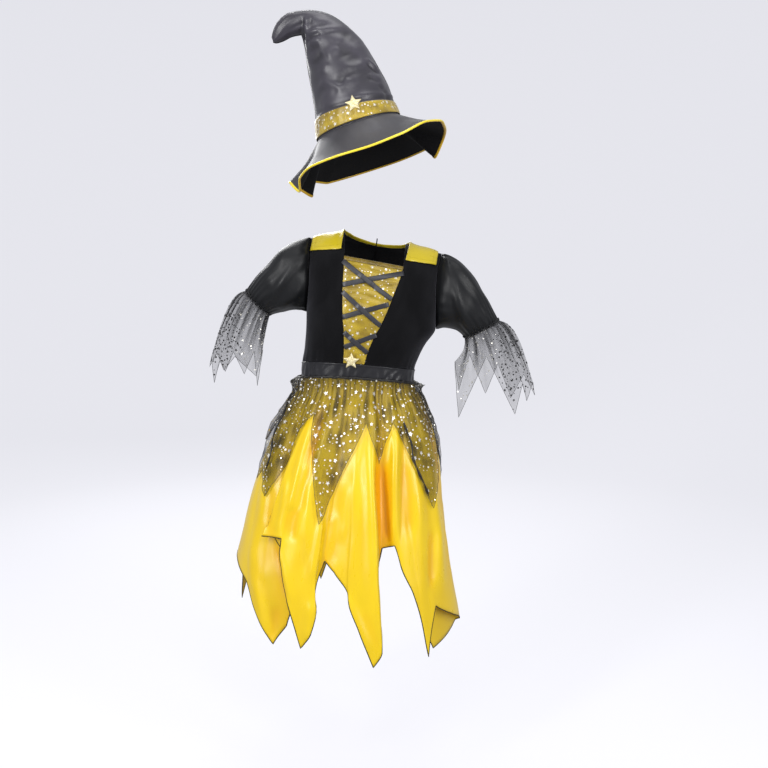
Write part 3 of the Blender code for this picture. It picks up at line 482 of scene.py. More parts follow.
def surface_normals(grid, wraps):
    """Unit normals of a grid of points, by the steps along its two directions."""
    if wraps:
        along = np.roll(grid, -1, axis=0) - np.roll(grid, 1, axis=0)
    else:
        along = np.gradient(grid, axis=0)
    down = np.gradient(grid, axis=1)
    normals = np.cross(along, down)
    return normals / np.linalg.norm(normals, axis=2, keepdims=True)


read_torso = reader(TORSO_SECTIONS, TORSO_COLUMNS, "height")
read_panel = reader(PANEL_EDGES, PANEL_COLUMNS, "height")
read_armhole = reader(ARMHOLE_EDGE, ARMHOLE_COLUMNS, "share")


def torso_place(out, fore, up):
    """A point of the leaning torso in the part's frame."""
    lean = WAIST_LEAN + LEAN_RATE * up
    middle_x = (math.cos(NECK_LEAN) - np.cos(lean)) / LEAN_RATE
    middle_z = (np.sin(lean) - math.sin(NECK_LEAN)) / LEAN_RATE
    return np.stack([middle_x + out * np.cos(lean), fore, middle_z - out * np.sin(lean)], axis=-1)


def half_width(side, level):
    return read_torso(side, level / MM) * MM


def turn_at(side, out, level):
    """Degrees round the torso at which a point lies so far out."""
    share = np.clip(out / half_width(side, level), 0, 1)
    return np.degrees(np.arcsin(share ** (1 / ROUNDNESS)))


def torso_surface(side, turn, level):
    """Point of the torso: turn in degrees from the front, level measured before the shoulder slopes."""
    angle = np.radians(turn)
    across = np.sin(angle)
    ahead = np.cos(angle)
    out = half_width(side, level) * np.abs(across) ** ROUNDNESS
    depth = np.where(ahead >= 0, read_torso("front", level / MM), read_torso("back", level / MM)) * MM
    below = np.clip((SHOULDER_HEIGHT - level) / SHOULDER_ROUND, 0, 1)
    rounding = np.sqrt(np.clip(1 - (1 - below) ** 2, 0, 1))
    fore = -depth * rounding * np.sign(ahead) * np.abs(ahead) ** ROUNDNESS
    slope = SHOULDER_DROP[side] * np.clip((out - 0.050) / 0.062, 0, 1)
    sloped = soft_step((level - ARMPIT_HEIGHT[side]) / (SHOULDER_HEIGHT - ARMPIT_HEIGHT[side]))
    lifted = WAIST_FRONT_RISE * np.clip(ahead, 0, 1) ** 1.2 * (1 - soft_step(level / 0.100))
    sign = -1 if side == "right" else 1
    return torso_place(sign * out, fore, level - slope * sloped + lifted)


def over_shoulder(side, out, over):
    """Point of the torso so far out and so many degrees over the shoulder line, plus to the front."""
    level = SHOULDER_HEIGHT - SHOULDER_ROUND * (1 - np.cos(np.radians(over)))
    turn = turn_at(side, out, level)
    return torso_surface(side, np.where(over >= 0, turn, 180 - turn), level)


def bodice_levels(low_rows, high_rows):
    """Heights of the bodice rows: even below the shoulder rounding, by its angle above."""
    foot = WAISTBAND_HEIGHT + 2 * SEAM_GAP
    bend = SHOULDER_HEIGHT - SHOULDER_ROUND
    low = np.linspace(foot, bend, low_rows, endpoint=False)
    over = np.radians(np.linspace(90, 0.35, high_rows))
    return np.concatenate([low, SHOULDER_HEIGHT - SHOULDER_ROUND * (1 - np.cos(over))])


def armhole_turn(side, level):
    """Degrees round at the side seam, and at the armhole edge above the armpit."""
    foot = ARMPIT_HEIGHT[side]
    return read_armhole("degrees", np.clip((level - foot) / (SHOULDER_HEIGHT - foot), 0, 1))


def gap_turn(side, level):
    """Degrees that half a seam gap takes at the side of the torso."""
    return np.degrees(SEAM_GAP / half_width(side, level))


def front_edge_turn(side, level):
    """Degrees round of the seam between the front panel and the side front."""
    return turn_at(side, read_panel(side, level / MM) * MM, level)


def panel_point(out, up):
    """Point of the front by its distance out from the middle and its height, both in mm."""
    side = "right" if out < 0 else "left"
    level = up * MM - WAIST_FRONT_RISE * (1 - soft_step(up * MM / 0.100))
    turn = turn_at(side, abs(out) * MM, level)
    return torso_surface(side, np.array([turn]), np.array([level]))[0]


def panel_normal(out, up):
    across = panel_point(out + 1, up) - panel_point(out - 1, up)
    upward = panel_point(out, up + 1) - panel_point(out, up - 1)
    normal = np.cross(across, upward)
    return normal / np.linalg.norm(normal)


def crossing_share(upper, lower):
    """Share of the upper lace's way at which the lower one passes under it."""
    first = np.array(upper[1:3], dtype=float)
    run = np.array(upper[3:5]) - first
    other = np.array(lower[3:5], dtype=float) - np.array(lower[1:3])
    return float(np.linalg.solve(np.stack([run, -other], axis=1), np.array(lower[1:3]) - first)[0])


def sleeve_surface(table, turns, shares, gather):
    """Grid of a puff sleeve; gathers ripple it near the armhole and the cuff."""
    read = reader(table, SLEEVE_COLUMNS, "share")
    top = np.stack([read("top_x", shares), read("middle", shares), read("top_z", shares)], axis=-1)
    low = np.stack([read("bottom_x", shares), read("middle", shares), read("bottom_z", shares)], axis=-1)
    middle = (top + low) / 2
    half = (top - low) / 2
    depth = read("depth", shares)
    angle = np.radians(turns)[:, None, None]
    front = np.array([0.0, -1.0, 0.0]) * depth[:, None]
    ring = half[None] * np.cos(angle) + front[None] * np.sin(angle)
    ripple = gather * (np.exp(-shares / 0.10) * 0.5 + np.exp(-(1 - shares) / 0.16))
    waves = 1 + np.cos(14 * np.radians(turns))[:, None] * (ripple * (shares > 0))[None] / 40
    return (middle[None] + ring * waves[:, :, None]) * MM


def armhole_ring(side, turns):
    """The sleeve's first ring, just outside the armhole edge of the bodice."""
    foot = ARMPIT_HEIGHT[side]
    level = foot + (SHOULDER_HEIGHT - foot) * (1 + np.cos(np.radians(turns))) / 2
    level = np.minimum(level, SHOULDER_HEIGHT - 0.00001)
    edge = armhole_turn(side, level)
    ahead = np.sin(np.radians(turns)) >= 0
    ring = torso_surface(side, np.where(ahead, edge, 180 - edge), level)
    outward = np.array([math.cos(NECK_LEAN), 0.0, -math.sin(NECK_LEAN)]) * SLEEVE_STAND_OFF
    return ring + outward * (-1 if side == "right" else 1)


def hem_back():
    """Rows of the back of the hem, joined to both ends of the front's rows."""
    rows = [HEM_FRONT[-1]]
    rounds = column(BACK_POINTS, BACK_POINT_COLUMNS, "round")
    drops = column(BACK_POINTS, BACK_POINT_COLUMNS, "drop")
    for k, (turn, drop) in enumerate(zip(rounds, drops)):
        rows.append((turn - 6, turn - 5, BACK_FOLD * 0.5, drop - 62))
        rows.append((turn, turn, BACK_FOLD, drop))
        rows.append((turn + 5, turn + 5, BACK_FOLD * 0.3, drop - 58))
        if k + 1 < len(rounds):
            middle = (turn + rounds[k + 1]) / 2
            rows.append((middle, middle, -BACK_FOLD, BACK_VALLEY_DROP + 6 * (k % 2)))
    rows.append((262, 261, -9, 345))
    first = HEM_FRONT[0]
    rows.append((first[0] + 360, first[1] + 360, first[2], first[3]))
    return tuple(rows)


HEM_BACK = hem_back()
read_skirt = reader(SKIRT_SECTIONS, SKIRT_COLUMNS, "drop")


def waist_ring(turns):
    """Top edge of the skirt, just below the waistband."""
    rings = []
    for turn in turns:
        turn = (turn + 180) % 360 - 180
        side = "right" if turn < 0 else "left"
        rings.append(torso_surface(side, np.array([abs(turn)]), np.array([0.0]))[0])
    return np.array(rings) - np.array([0, 0, SEAM_GAP])


def skirt_surface(hem, turns, reach):
    """Grid of the hanging skirt; reach gives, for each column, its drops in mm along the rows."""
    read = reader(hem, HEM_COLUMNS, "waist")
    full = read("drop", turns)[:, None]
    fall = np.clip(reach / full, 0, 1)
    start = turns[:, None]
    angle = np.radians(start + (read("hem", turns)[:, None] - start) * np.power(fall, FOLD_SWING))
    fold = read("fold", turns)[:, None] * np.power(fall, FOLD_GROWTH)
    middle = read_skirt("middle", reach)
    across = read_skirt("across", reach) + fold
    depth = read_skirt("depth", reach) + fold
    level = -(NECK_ABOVE_WAIST - 0.0035) / MM - reach
    loose = np.stack([middle + across * np.sin(angle), -depth * np.cos(angle), level], axis=-1) * MM
    top = waist_ring(turns)[:, None]
    hold = (1 - soft_step(reach / 40))[:, :, None]
    held = top + np.array([0, 0, -1.0]) * (reach * MM)[:, :, None]
    return loose * (1 - hold) + held * hold


def skirt_all_round(turns, reach):
    """The skirt's grid for turns that may pass from the front's rows to the back's."""
    first = HEM_FRONT[0][0]
    last = HEM_FRONT[-1][0]
    wound = np.where(turns < first, turns + 360, turns)
    wound = np.where(wound > first + 360, wound - 360, wound)
    front = skirt_surface(HEM_FRONT, np.clip(wound, first, last), reach)
    back = skirt_surface(HEM_BACK, np.clip(wound, last, first + 360), reach)
    return np.where((wound <= last)[:, None, None], front, back)


def seamed_turns(knots, counts):
    """Turns of a skirt piece, drawn in by half a seam gap at both ends."""
    turns = even_between(knots, counts)
    inset = np.degrees(SEAM_GAP / 0.100)
    turns[0] = turns[0] + inset
    turns[-1] = turns[-1] - inset
    return turns


HAT_ACROSS = np.array([math.cos(HAT_TILT), 0.0, math.sin(HAT_TILT)])
HAT_UP = np.array([-math.sin(HAT_TILT), 0.0, math.cos(HAT_TILT)])
HAT_FORE = np.array([0.0, -1.0, 0.0])
read_cone = reader(CONE_SECTIONS, CONE_COLUMNS, "share")


def cone_surface(turns, shares):
    """Grid of the bent cone: turns in degrees from the front, shares from base to tip."""
    tilt = np.radians(read_cone("tilt", shares))[:, None]
    half_way = HAT_ACROSS * np.cos(tilt) + HAT_UP * np.sin(tilt)
    middle = read_cone("across", shares)[:, None] * HAT_ACROSS + read_cone("up", shares)[:, None] * HAT_UP
    size = (len(turns), len(shares))
    angle = np.radians(np.broadcast_to(np.reshape(turns, (len(turns), -1)), size))[:, :, None]
    across = half_way[None] * read_cone("half", shares)[None, :, None] * np.sin(angle)
    fore = HAT_FORE[None, None] * read_cone("depth", shares)[None, :, None] * np.cos(angle)
    return np.array(HAT_CENTRE) + (middle[None] + across + fore) * MM


def brim_rays(turns):
    """Start of each ray of the brim at the crown, its direction with length, and the brim's normal."""
    read = reader(BRIM_RIM, BRIM_COLUMNS, "round")
    wound = np.where(turns > 216, turns - 360, turns)
    angle = np.radians(turns)
    base = column(CONE_SECTIONS, CONE_COLUMNS, "half")[0] + BRIM_START_OUT
    deep = column(CONE_SECTIONS, CONE_COLUMNS, "depth")[0] + BRIM_START_OUT
    side = np.sin(angle)[:, None]
    ahead = np.cos(angle)[:, None]
    start = side * HAT_ACROSS * base + ahead * HAT_FORE * deep - HAT_UP * BRIM_START_DROP
    outward = side * HAT_ACROSS * deep + ahead * HAT_FORE * base
    outward = outward / np.linalg.norm(outward, axis=1, keepdims=True)
    ray = outward * read("reach", wound)[:, None] - HAT_UP * read("drop", wound)[:, None]
    return np.array(HAT_CENTRE) + start * MM, ray * MM


def brim_surface(turns, left_over):
    """Grid of the brim: each ray from the crown outwards, its lengths left over to the rim in m."""
    start, ray = brim_rays(turns)
    length = np.linalg.norm(ray, axis=1)[:, None]
    shares = 1 - left_over / length
    sag = BRIM_SAG * np.sin(np.pi * np.clip(shares, 0, 1))[:, :, None] * HAT_UP
    return start[:, None] + ray[:, None] * shares[:, :, None] - sag


def unit(vectors):
    """Vectors of length one."""
    return vectors / np.linalg.norm(vectors, axis=-1, keepdims=True)


def flat_map(grid, wraps):
    """Place of each grid point on the flat cloth, in metres across and down."""
    closed = np.concatenate([grid, grid[:1]]) if wraps else grid
    across = np.linalg.norm(np.diff(closed, axis=0), axis=2).mean(axis=1)
    along = np.concatenate([[0], np.cumsum(across)])
    down = np.linalg.norm(np.diff(closed, axis=1), axis=2)
    down = np.concatenate([np.zeros((len(closed), 1)), np.cumsum(down, axis=1)], axis=1)
    return np.stack([np.broadcast_to(along[:, None], down.shape), down], axis=-1)


def mesh_piece(name, points, faces, materials, slots=None, corners=None):
    """A smooth shaded object; corners holds the place on the flat cloth of each face corner."""
    mesh = bpy.data.meshes.new(name)
    mesh.from_pydata(points.tolist(), [], [list(map(int, face)) for face in faces])
    for material in materials:
        mesh.materials.append(material)
    if slots is not None:
        mesh.polygons.foreach_set("material_index", np.asarray(slots, dtype=np.int32))
    if corners is not None:
        layer = mesh.uv_layers.new(name="cloth")
        layer.data.foreach_set("uv", np.asarray(corners, dtype=np.float32).ravel())
    mesh.shade_smooth()
    piece = bpy.data.objects.new(name, mesh)
    bpy.context.scene.collection.objects.link(piece)
    return piece


def face_outward(piece):
    """Turn every face of a closed mesh to the outside."""
    mend = bmesh.new()
    mend.from_mesh(piece.data)
    bmesh.ops.recalc_face_normals(mend, faces=mend.faces)
    mend.to_mesh(piece.data)
    mend.free()


def wall(name, outer, normals, thickness, wraps, materials, shade_and_density_grid=None):
    """A thin closed shell of cloth; materials are those of the outside and the inside."""
    columns, rows = outer.shape[:2]
    inner = outer - normals * thickness
    points = np.concatenate([outer.reshape(-1, 3), inner.reshape(-1, 3)])
    shift = columns * rows
    spans = columns if wraps else columns - 1
    flat = flat_map(outer, wraps).reshape(-1, 2)

    def spot(i, j):
        return (i % columns) * rows + j

    def place(i, j):
        return i * rows + j

    i, j = np.meshgrid(np.arange(spans), np.arange(rows - 1), indexing="ij")
    i, j = i.ravel(), j.ravel()
    ring = ((i, j), (i + 1, j), (i + 1, j + 1), (i, j + 1))
    quads = np.stack([spot(a, b) for a, b in ring], axis=-1)
    quad_places = np.stack([place(a, b) for a, b in ring], axis=-1)
    k = np.arange(spans)
    last = rows - 1
    top = ((k + 1, 0 * k), (k, 0 * k))
    low = ((k, 0 * k + last), (k + 1, 0 * k + last))
    faces = [quads, quads[:, ::-1] + shift]
    places = [quad_places, quad_places[:, ::-1]]
    for pair in (top, low):
        near = np.stack([spot(a, b) for a, b in pair], axis=-1)
        near_places = np.stack([place(a, b) for a, b in pair], axis=-1)
        faces.append(np.concatenate([near, near[:, ::-1] + shift], axis=1))
        places.append(np.concatenate([near_places, near_places[:, ::-1]], axis=1))
    if not wraps:
        m = np.arange(rows - 1)
        end = columns - 1
        for pair in (((0 * m, m), (0 * m, m + 1)), ((0 * m + end, m + 1), (0 * m + end, m))):
            near = np.stack([spot(a, b) for a, b in pair], axis=-1)
            faces.append(np.concatenate([near, near[:, ::-1] + shift], axis=1))
            near_places = np.stack([place(a, b) for a, b in pair], axis=-1)
            places.append(np.concatenate([near_places, near_places[:, ::-1]], axis=1))
    slots = np.zeros(sum(len(f) for f in faces), dtype=np.int32)
    if len(materials) > 1:
        slots[len(quads):2 * len(quads)] = 1
    faces = np.concatenate(faces)
    places = np.concatenate(places)
    corner = points[faces]
    volume = np.einsum("ij,ij->i", corner[:, 0], np.cross(corner[:, 1], corner[:, 2])).sum()
    volume += np.einsum("ij,ij->i", corner[:, 0], np.cross(corner[:, 2], corner[:, 3])).sum()
    if volume < 0:
        faces = faces[:, ::-1]
        places = places[:, ::-1]
    piece = mesh_piece(name, points, faces, materials, slots, flat[places.ravel()])
    # Per point values for the shader: painted shade in the satin's hollows, and for the net its opacity,
    # partly painted shade.
    if shade_and_density_grid is not None:
        layer = piece.data.attributes.new("shade_and_density", "FLOAT", "POINT")
        values = np.concatenate([shade_and_density_grid.ravel(), shade_and_density_grid.ravel()])
        layer.data.foreach_set("value", values.astype(np.float32))
    return piece


def crease_heights(grid, rows):
    """Heights in metres of soft ridges and troughs, by their lines in the front view in mm."""
    spot = grid[:, :, [0, 2]] / MM
    total = np.zeros(grid.shape[:2])
    for from_x, from_z, to_x, to_z, width, height in rows:
        start = np.array([from_x, from_z], dtype=float)
        run = np.array([to_x, to_z]) - start
        length = np.linalg.norm(run)
        along = (spot - start) @ (run / length)
        aside = (spot - start) @ (np.array([-run[1], run[0]]) / length)
        share = along / length
        fade = soft_step(share / 0.3 + 0.35) * soft_step((1 - share) / 0.3 + 0.35)
        ridge = np.exp(-(aside / width) ** 2)
        foot = np.exp(-((aside - 1.7 * width) / width) ** 2)
        total += height * fade * (ridge - 0.4 * foot)
    return total * MM


def drift(flat, size, seed):
    """Smooth uneven waves, about from -1 to 1, whose length is near size in metres."""
    chance = np.random.RandomState(seed)
    total = np.zeros(flat.shape[:-1])
    for _ in range(7):
        angle = chance.uniform(0, math.pi)
        pace = 2 * math.pi / (size * chance.uniform(0.6, 1.7))
        phase = chance.uniform(0, 2 * math.pi)
        bend = chance.uniform(0.5, 1.5) * np.sin(flat[..., 1] * pace * 0.37 + phase * 3)
        ahead = flat[..., 0] * math.cos(angle) + flat[..., 1] * math.sin(angle)
        total += np.sin(ahead * pace + phase + bend)
    return total / 3.5


def uneven_gathers(flat, spacing, seed):
    """Pleats that run down the cloth, uneven in width and depth, about from -1 to 1."""
    chance = np.random.RandomState(seed)
    across = flat[..., 0]
    wander = sum(
        chance.uniform(0.3, 0.9)
        * np.sin(across * 2 * math.pi / (spacing * chance.uniform(3, 9)) + chance.uniform(0, 6))
        for _ in range(4)
    )
    depth = 0.75 + 0.25 * np.sin(across * 2 * math.pi / (spacing * 5.3) + chance.uniform(0, 6))
    wave = np.sin(across * 2 * math.pi / spacing + wander * 1.6)
    return depth * (np.abs(wave) ** 0.8 * np.sign(wave))


def on_grid(grid, a, b, wraps):
    """Values of a grid at broken column and row numbers."""
    columns, rows = grid.shape[:2]
    i = np.floor(a).astype(int)
    i = i % columns if wraps else np.clip(i, 0, columns - 2)
    j = np.clip(np.floor(b).astype(int), 0, rows - 2)
    s = (a - np.floor(a) if wraps else a - i)[..., None]
    t = (b - j)[..., None]
    after = (i + 1) % columns
    near = grid[i, j] * (1 - t) + grid[i, j + 1] * t
    far = grid[after, j] * (1 - t) + grid[after, j + 1] * t
    return near * (1 - s) + far * s


STAR_RING = np.array([
    (math.sin(k * math.pi / 5), math.cos(k * math.pi / 5), 1.0 if k % 2 == 0 else 0.42) for k in range(10)
])
STAR_SHAPE = STAR_RING[:, :2] * STAR_RING[:, 2:]
DOT_SHAPE = np.array([(math.sin(k * math.pi / 4), math.cos(k * math.pi / 4)) for k in range(8)])


def sprinkle(
        name, grid, normals, wraps, thickness, material, seed, count, star_mm, dot_mm, star_share, within,
):
    """Many small printed stars and dots that follow the cloth, as one joined mesh."""
    chance = np.random.RandomState(seed)
    columns, rows = grid.shape[:2]
    spans = columns if wraps else columns - 1
    nxt = np.roll(grid, -1, axis=0)
    side = (nxt - grid)[:spans, :-1]
    down = (grid[:, 1:] - grid[:, :-1])[:spans]
    area = np.linalg.norm(np.cross(side, down), axis=2).ravel()
    cells = chance.choice(len(area), size=count * 6, p=area / area.sum())
    a_all = cells // (rows - 1) + chance.uniform(0, 1, len(cells))
    b_all = cells % (rows - 1) + chance.uniform(0, 1, len(cells))
    spins = chance.uniform(0, 2 * math.pi, len(cells))
    stars = chance.uniform(0, 1, len(cells)) < star_share
    star_radii = chance.uniform(*star_mm, len(cells))
    dot_radii = dot_mm[0] + (dot_mm[1] - dot_mm[0]) * chance.uniform(0, 1, len(cells)) ** 2
    radii = np.where(stars, star_radii, dot_radii) * MM
    centres = on_grid(grid, a_all, b_all, wraps)
    kept = []
    spots = np.zeros((0, 3))
    reach = np.zeros(0)
    points = []
    faces = []
    total = 0
    for n in range(len(cells)):
        if len(kept) >= count:
            break
        radius = radii[n]
        if within is not None and not within(centres[n]):
            continue
        if len(kept) and (np.linalg.norm(spots - centres[n], axis=1) < reach + radius + 0.0012).any():
            continue
        a, b = a_all[n], b_all[n]
        here = on_grid(grid, np.array([a, a + 0.5, a]), np.array([b, b, min(b + 0.5, rows - 1.001)]), wraps)
        step_a = (here[1] - here[0]) * 2
        step_b = (here[2] - here[0]) * 2
        if np.linalg.norm(step_b) < 1e-6 or np.linalg.norm(step_a) < 1e-6:
            continue
        first = step_a / np.linalg.norm(step_a)
        second = step_b - first * np.dot(step_b, first)
        if np.linalg.norm(second) < 1e-6:
            continue
        second = second / np.linalg.norm(second)
        shape = STAR_SHAPE if stars[n] else DOT_SHAPE
        turn = np.array([[math.cos(spins[n]), -math.sin(spins[n])], [math.sin(spins[n]), math.cos(spins[n])]])
        flat = np.concatenate([shape, [[0, 0]]]) @ turn.T * radius
        beta = flat[:, 1] / np.dot(step_b, second)
        alpha = (flat[:, 0] - beta * np.dot(step_b, first)) / np.linalg.norm(step_a)
        at_a, at_b = a + alpha, b + beta
        if at_b.min() < 0.02 or at_b.max() > rows - 1.02:
            continue
        if not wraps and (at_a.min() < 0.02 or at_a.max() > columns - 1.02):
            continue
        spot = on_grid(grid, at_a, at_b, wraps)
        out = unit(on_grid(normals, at_a, at_b, wraps))
        upper = spot + out * 0.00022
        lower = spot[:-1] - out[:-1] * (thickness + 0.00022)
        points.append(np.concatenate([upper, lower]))
        ring = len(shape)
        for k in range(ring):
            after = (k + 1) % ring
            faces.append((total + k, total + after, total + ring))
            faces.append((total + after, total + k, total + ring + 1 + k, total + ring + 1 + after))
        faces.append(tuple(total + ring + 1 + k for k in reversed(range(ring))))
        total += 2 * ring + 1
        kept.append(n)
        spots = np.concatenate([spots, centres[n:n + 1]])
        reach = np.append(reach, radius)
    piece = mesh_piece(name, np.concatenate(points), faces, [material])
    face_outward(piece)
    piece.data.set_sharp_from_angle(angle=math.radians(40))
    ride_as(piece)
    return piece


def ride_as(piece):
    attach(piece, "root")


def cord_mesh(name, path, radius, sides, material, closed=False):
    """A thin round thread or roll along a path."""
    path = np.asarray(path)
    if closed:
        ahead = np.roll(path, -1, axis=0) - np.roll(path, 1, axis=0)
    else:
        ahead = np.gradient(path, axis=0)
    ahead = unit(ahead)
    helper = np.array([0.31, 0.2, 0.93])
    aside = unit(np.cross(ahead, helper))
    upward = np.cross(aside, ahead)
    angles = np.arange(sides) * 2 * math.pi / sides
    radius = np.broadcast_to(radius, len(path))[:, None, None]
    ring = aside[:, None] * np.cos(angles)[None, :, None] + upward[:, None] * np.sin(angles)[None, :, None]
    points = (path[:, None] + ring * radius).reshape(-1, 3)
    n = len(path)
    faces = []
    for i in range(n if closed else n - 1):
        for k in range(sides):
            after = (k + 1) % sides
            m = (i + 1) % n
            faces.append((i * sides + k, i * sides + after, m * sides + after, m * sides + k))
    if not closed:
        faces.append(tuple(reversed(range(sides))))
        faces.append(tuple((n - 1) * sides + k for k in range(sides)))
    piece = mesh_piece(name, points, faces, [material])
    face_outward(piece)
    ride_as(piece)
    return piece


def stitches(name, path, normals, length, gap, radius, material):
    """A row of short raised threads along a path on the cloth."""
    steps = np.linalg.norm(np.diff(path, axis=0), axis=1)
    along = np.concatenate([[0], np.cumsum(steps)])
    starts = np.arange(gap, along[-1] - length, length + gap)
    points = []
    faces = []
    for start in starts:
        at = start + length * np.array([0, 0.25, 0.75, 1])
        spot = np.stack([np.interp(at, along, path[:, k]) for k in range(3)], axis=1)
        out = unit(np.stack([np.interp(at, along, normals[:, k]) for k in range(3)], axis=1))
        ahead = unit(spot[-1] - spot[0])
        aside = unit(np.cross(out, ahead))
        size = radius * np.array([0.35, 1, 1, 0.35])[:, None]
        shift = len(points) * 16
        rows = [spot + out * size * 0.9, spot + aside * size, spot - out * size * 0.9, spot - aside * size]
        points.append(np.stack(rows, axis=1).reshape(-1, 3))
        for i in range(3):
            for k in range(4):
                after = (k + 1) % 4
                here = shift + i * 4
                faces.append((here + k, here + after, here + 4 + after, here + 4 + k))
        faces.append((shift + 3, shift + 2, shift + 1, shift))
        faces.append((shift + 12, shift + 13, shift + 14, shift + 15))
    piece = mesh_piece(name, np.concatenate(points), faces, [material])
    face_outward(piece)
    ride_as(piece)
    return piece


# Materials
class Cloth:
    """A material whose nodes are added one after the other."""

    def __init__(self, name):
        self.material = bpy.data.materials.new(name)
        self.material.use_nodes = True
        self.tree = self.material.node_tree
        self.shader = self.tree.nodes["Principled BSDF"]
        self.place = self.node("ShaderNodeUVMap")

    def node(self, kind, **values):
        node = self.tree.nodes.new(kind)
        for name, value in values.items():
            setattr(node, name, value)
        return node

    def link(self, start, end):
        self.tree.links.new(start, end)

    def scaled(self, across, down):
        mapping = self.node("ShaderNodeMapping")
        mapping.inputs["Scale"].default_value = (across, down, 1)
        self.link(self.place.outputs[0], mapping.inputs[0])
        return mapping.outputs[0]

    def noise(self, across, down, detail=2.0):
        noise = self.node("ShaderNodeTexNoise")
        noise.inputs["Scale"].default_value = 1.0
        noise.inputs["Detail"].default_value = detail
        self.link(self.scaled(across, down), noise.inputs["Vector"])
        return noise.outputs["Fac"]

    def spread(self, value, low, high, to_low=0.0, to_high=1.0):
        spread = self.node("ShaderNodeMapRange")
        spread.inputs["From Min"].default_value = low
        spread.inputs["From Max"].default_value = high
        spread.inputs["To Min"].default_value = to_low
        spread.inputs["To Max"].default_value = to_high
        self.link(value, spread.inputs["Value"])
        return spread.outputs[0]

    def blend(self, share, first, second):
        mix = self.node("ShaderNodeMix", data_type="RGBA")
        self.link(share, mix.inputs["Factor"])
        for socket, colour in ((mix.inputs["A"], first), (mix.inputs["B"], second)):
            if isinstance(colour, tuple):
                socket.default_value = (*colour, 1)
            else:
                self.link(colour, socket)
        return mix.outputs["Result"]

    def maths(self, kind, first, second):
        sums = self.node("ShaderNodeMath", operation=kind)
        for socket, value in zip(sums.inputs, (first, second)):
            if isinstance(value, (int, float)):
                socket.default_value = value
            else:
                self.link(value, socket)
        return sums.outputs[0]

    def bump(self, height, distance, strength=1.0, onto=None):
        bump = self.node("ShaderNodeBump")
        bump.inputs["Strength"].default_value = strength
        bump.inputs["Distance"].default_value = distance
        self.link(height, bump.inputs["Height"])
        if onto is not None:
            self.link(onto, bump.inputs["Normal"])
        return bump.outputs[0]

    def set(self, **values):
        for name, value in values.items():
            socket = self.shader.inputs[name.replace("_", " ").title().replace("Ior", "IOR")]
            if isinstance(value, tuple):
                socket.default_value = (*value, 1) if len(socket.default_value) == 4 else value
            elif isinstance(value, (int, float)):
                socket.default_value = value
            else:
                self.link(value, socket)


def satin(name, light, dark, roughness, crumple=0.0006, deep=None, specular=0.5, sheen=0.1):
    """Satin: long fine threads, soft uneven crumple, and painted shade in the hollows, where the colour is
    blended towards the deep shade colour.
    """
    cloth = Cloth(name)
    colour = cloth.blend(cloth.spread(cloth.noise(14, 9), 0.35, 0.65), light, dark)
    threads = cloth.noise(2600, 260, 1.0)
    colour = cloth.blend(cloth.spread(threads, 0.3, 0.7, 0.0, 0.22), colour, dark)
    if deep is not None:
        # Painted shade: the per point attribute blends the colour towards the deep shade colour in the
        # hollows.
        shade_and_density = cloth.node("ShaderNodeAttribute", attribute_name="shade_and_density").outputs["Fac"]
        colour = cloth.blend(shade_and_density, colour, deep)
    soft = cloth.bump(cloth.noise(30, 18, 1.0), crumple, 0.6)
    normal = cloth.bump(threads, 0.00005, 0.5, soft)
    gloss = cloth.spread(cloth.noise(60, 30), 0.3, 0.7, roughness - 0.04, roughness + 0.05)
    cloth.set(base_color=colour, roughness=gloss, normal=normal, specular_ior_level=specular)
    cloth.set(sheen_weight=sheen, sheen_roughness=0.35)
    return cloth.material


def velvet(name, light, dark):
    """Velvet: short pile that takes light in, with stroked patches and a faint rim of sheen."""
    cloth = Cloth(name)
    strokes = cloth.spread(cloth.noise(26, 11), 0.38, 0.66)
    colour = cloth.blend(strokes, dark, light)
    pile = cloth.noise(3200, 3200, 1.0)
    normal = cloth.bump(pile, 0.00025, 0.7)
    cloth.set(base_color=colour, roughness=0.95, normal=normal, specular_ior_level=0.12)
    cloth.set(sheen_weight=0.35, sheen_roughness=0.45, sheen_tint=(0.35, 0.35, 0.4))
    return cloth.material


def net(name, colour, seen, dense_and_shaded, holes, shine=0.5):
    """Fine net: threads in a small diamond pattern over clear holes, more opaque where the net is gathered
    and in its troughs, where the extra opacity is painted shade.
    """
    cloth = Cloth(name)
    waves = []
    for turn in (math.radians(52), math.radians(-52)):
        mapping = cloth.node("ShaderNodeMapping")
        mapping.inputs["Rotation"].default_value = (0, 0, turn)
        cloth.link(cloth.place.outputs[0], mapping.inputs[0])
        wave = cloth.node("ShaderNodeTexWave")
        wave.inputs["Scale"].default_value = holes
        cloth.link(mapping.outputs[0], wave.inputs["Vector"])
        waves.append(wave.outputs["Fac"])
    thread = cloth.maths("MAXIMUM", waves[0], waves[1])
    shade_and_density = cloth.node("ShaderNodeAttribute", attribute_name="shade_and_density").outputs["Fac"]
    # Opacity rises with the per point attribute: partly real gathered net, partly painted shade in the
    # troughs.
    patch = cloth.maths(
        "MULTIPLY", cloth.spread(cloth.noise(40, 25), 0.3, 0.7, 0.85, 1.15),
        cloth.spread(shade_and_density, 0, 1, seen, dense_and_shaded)
    )
    shown = cloth.maths("MULTIPLY", cloth.spread(thread, 0.45, 0.95, 0.7, 1.4), patch)
    cloth.set(base_color=colour, roughness=shine, alpha=shown, specular_ior_level=0.35)
    cloth.set(sheen_weight=0.1)
    return cloth.material


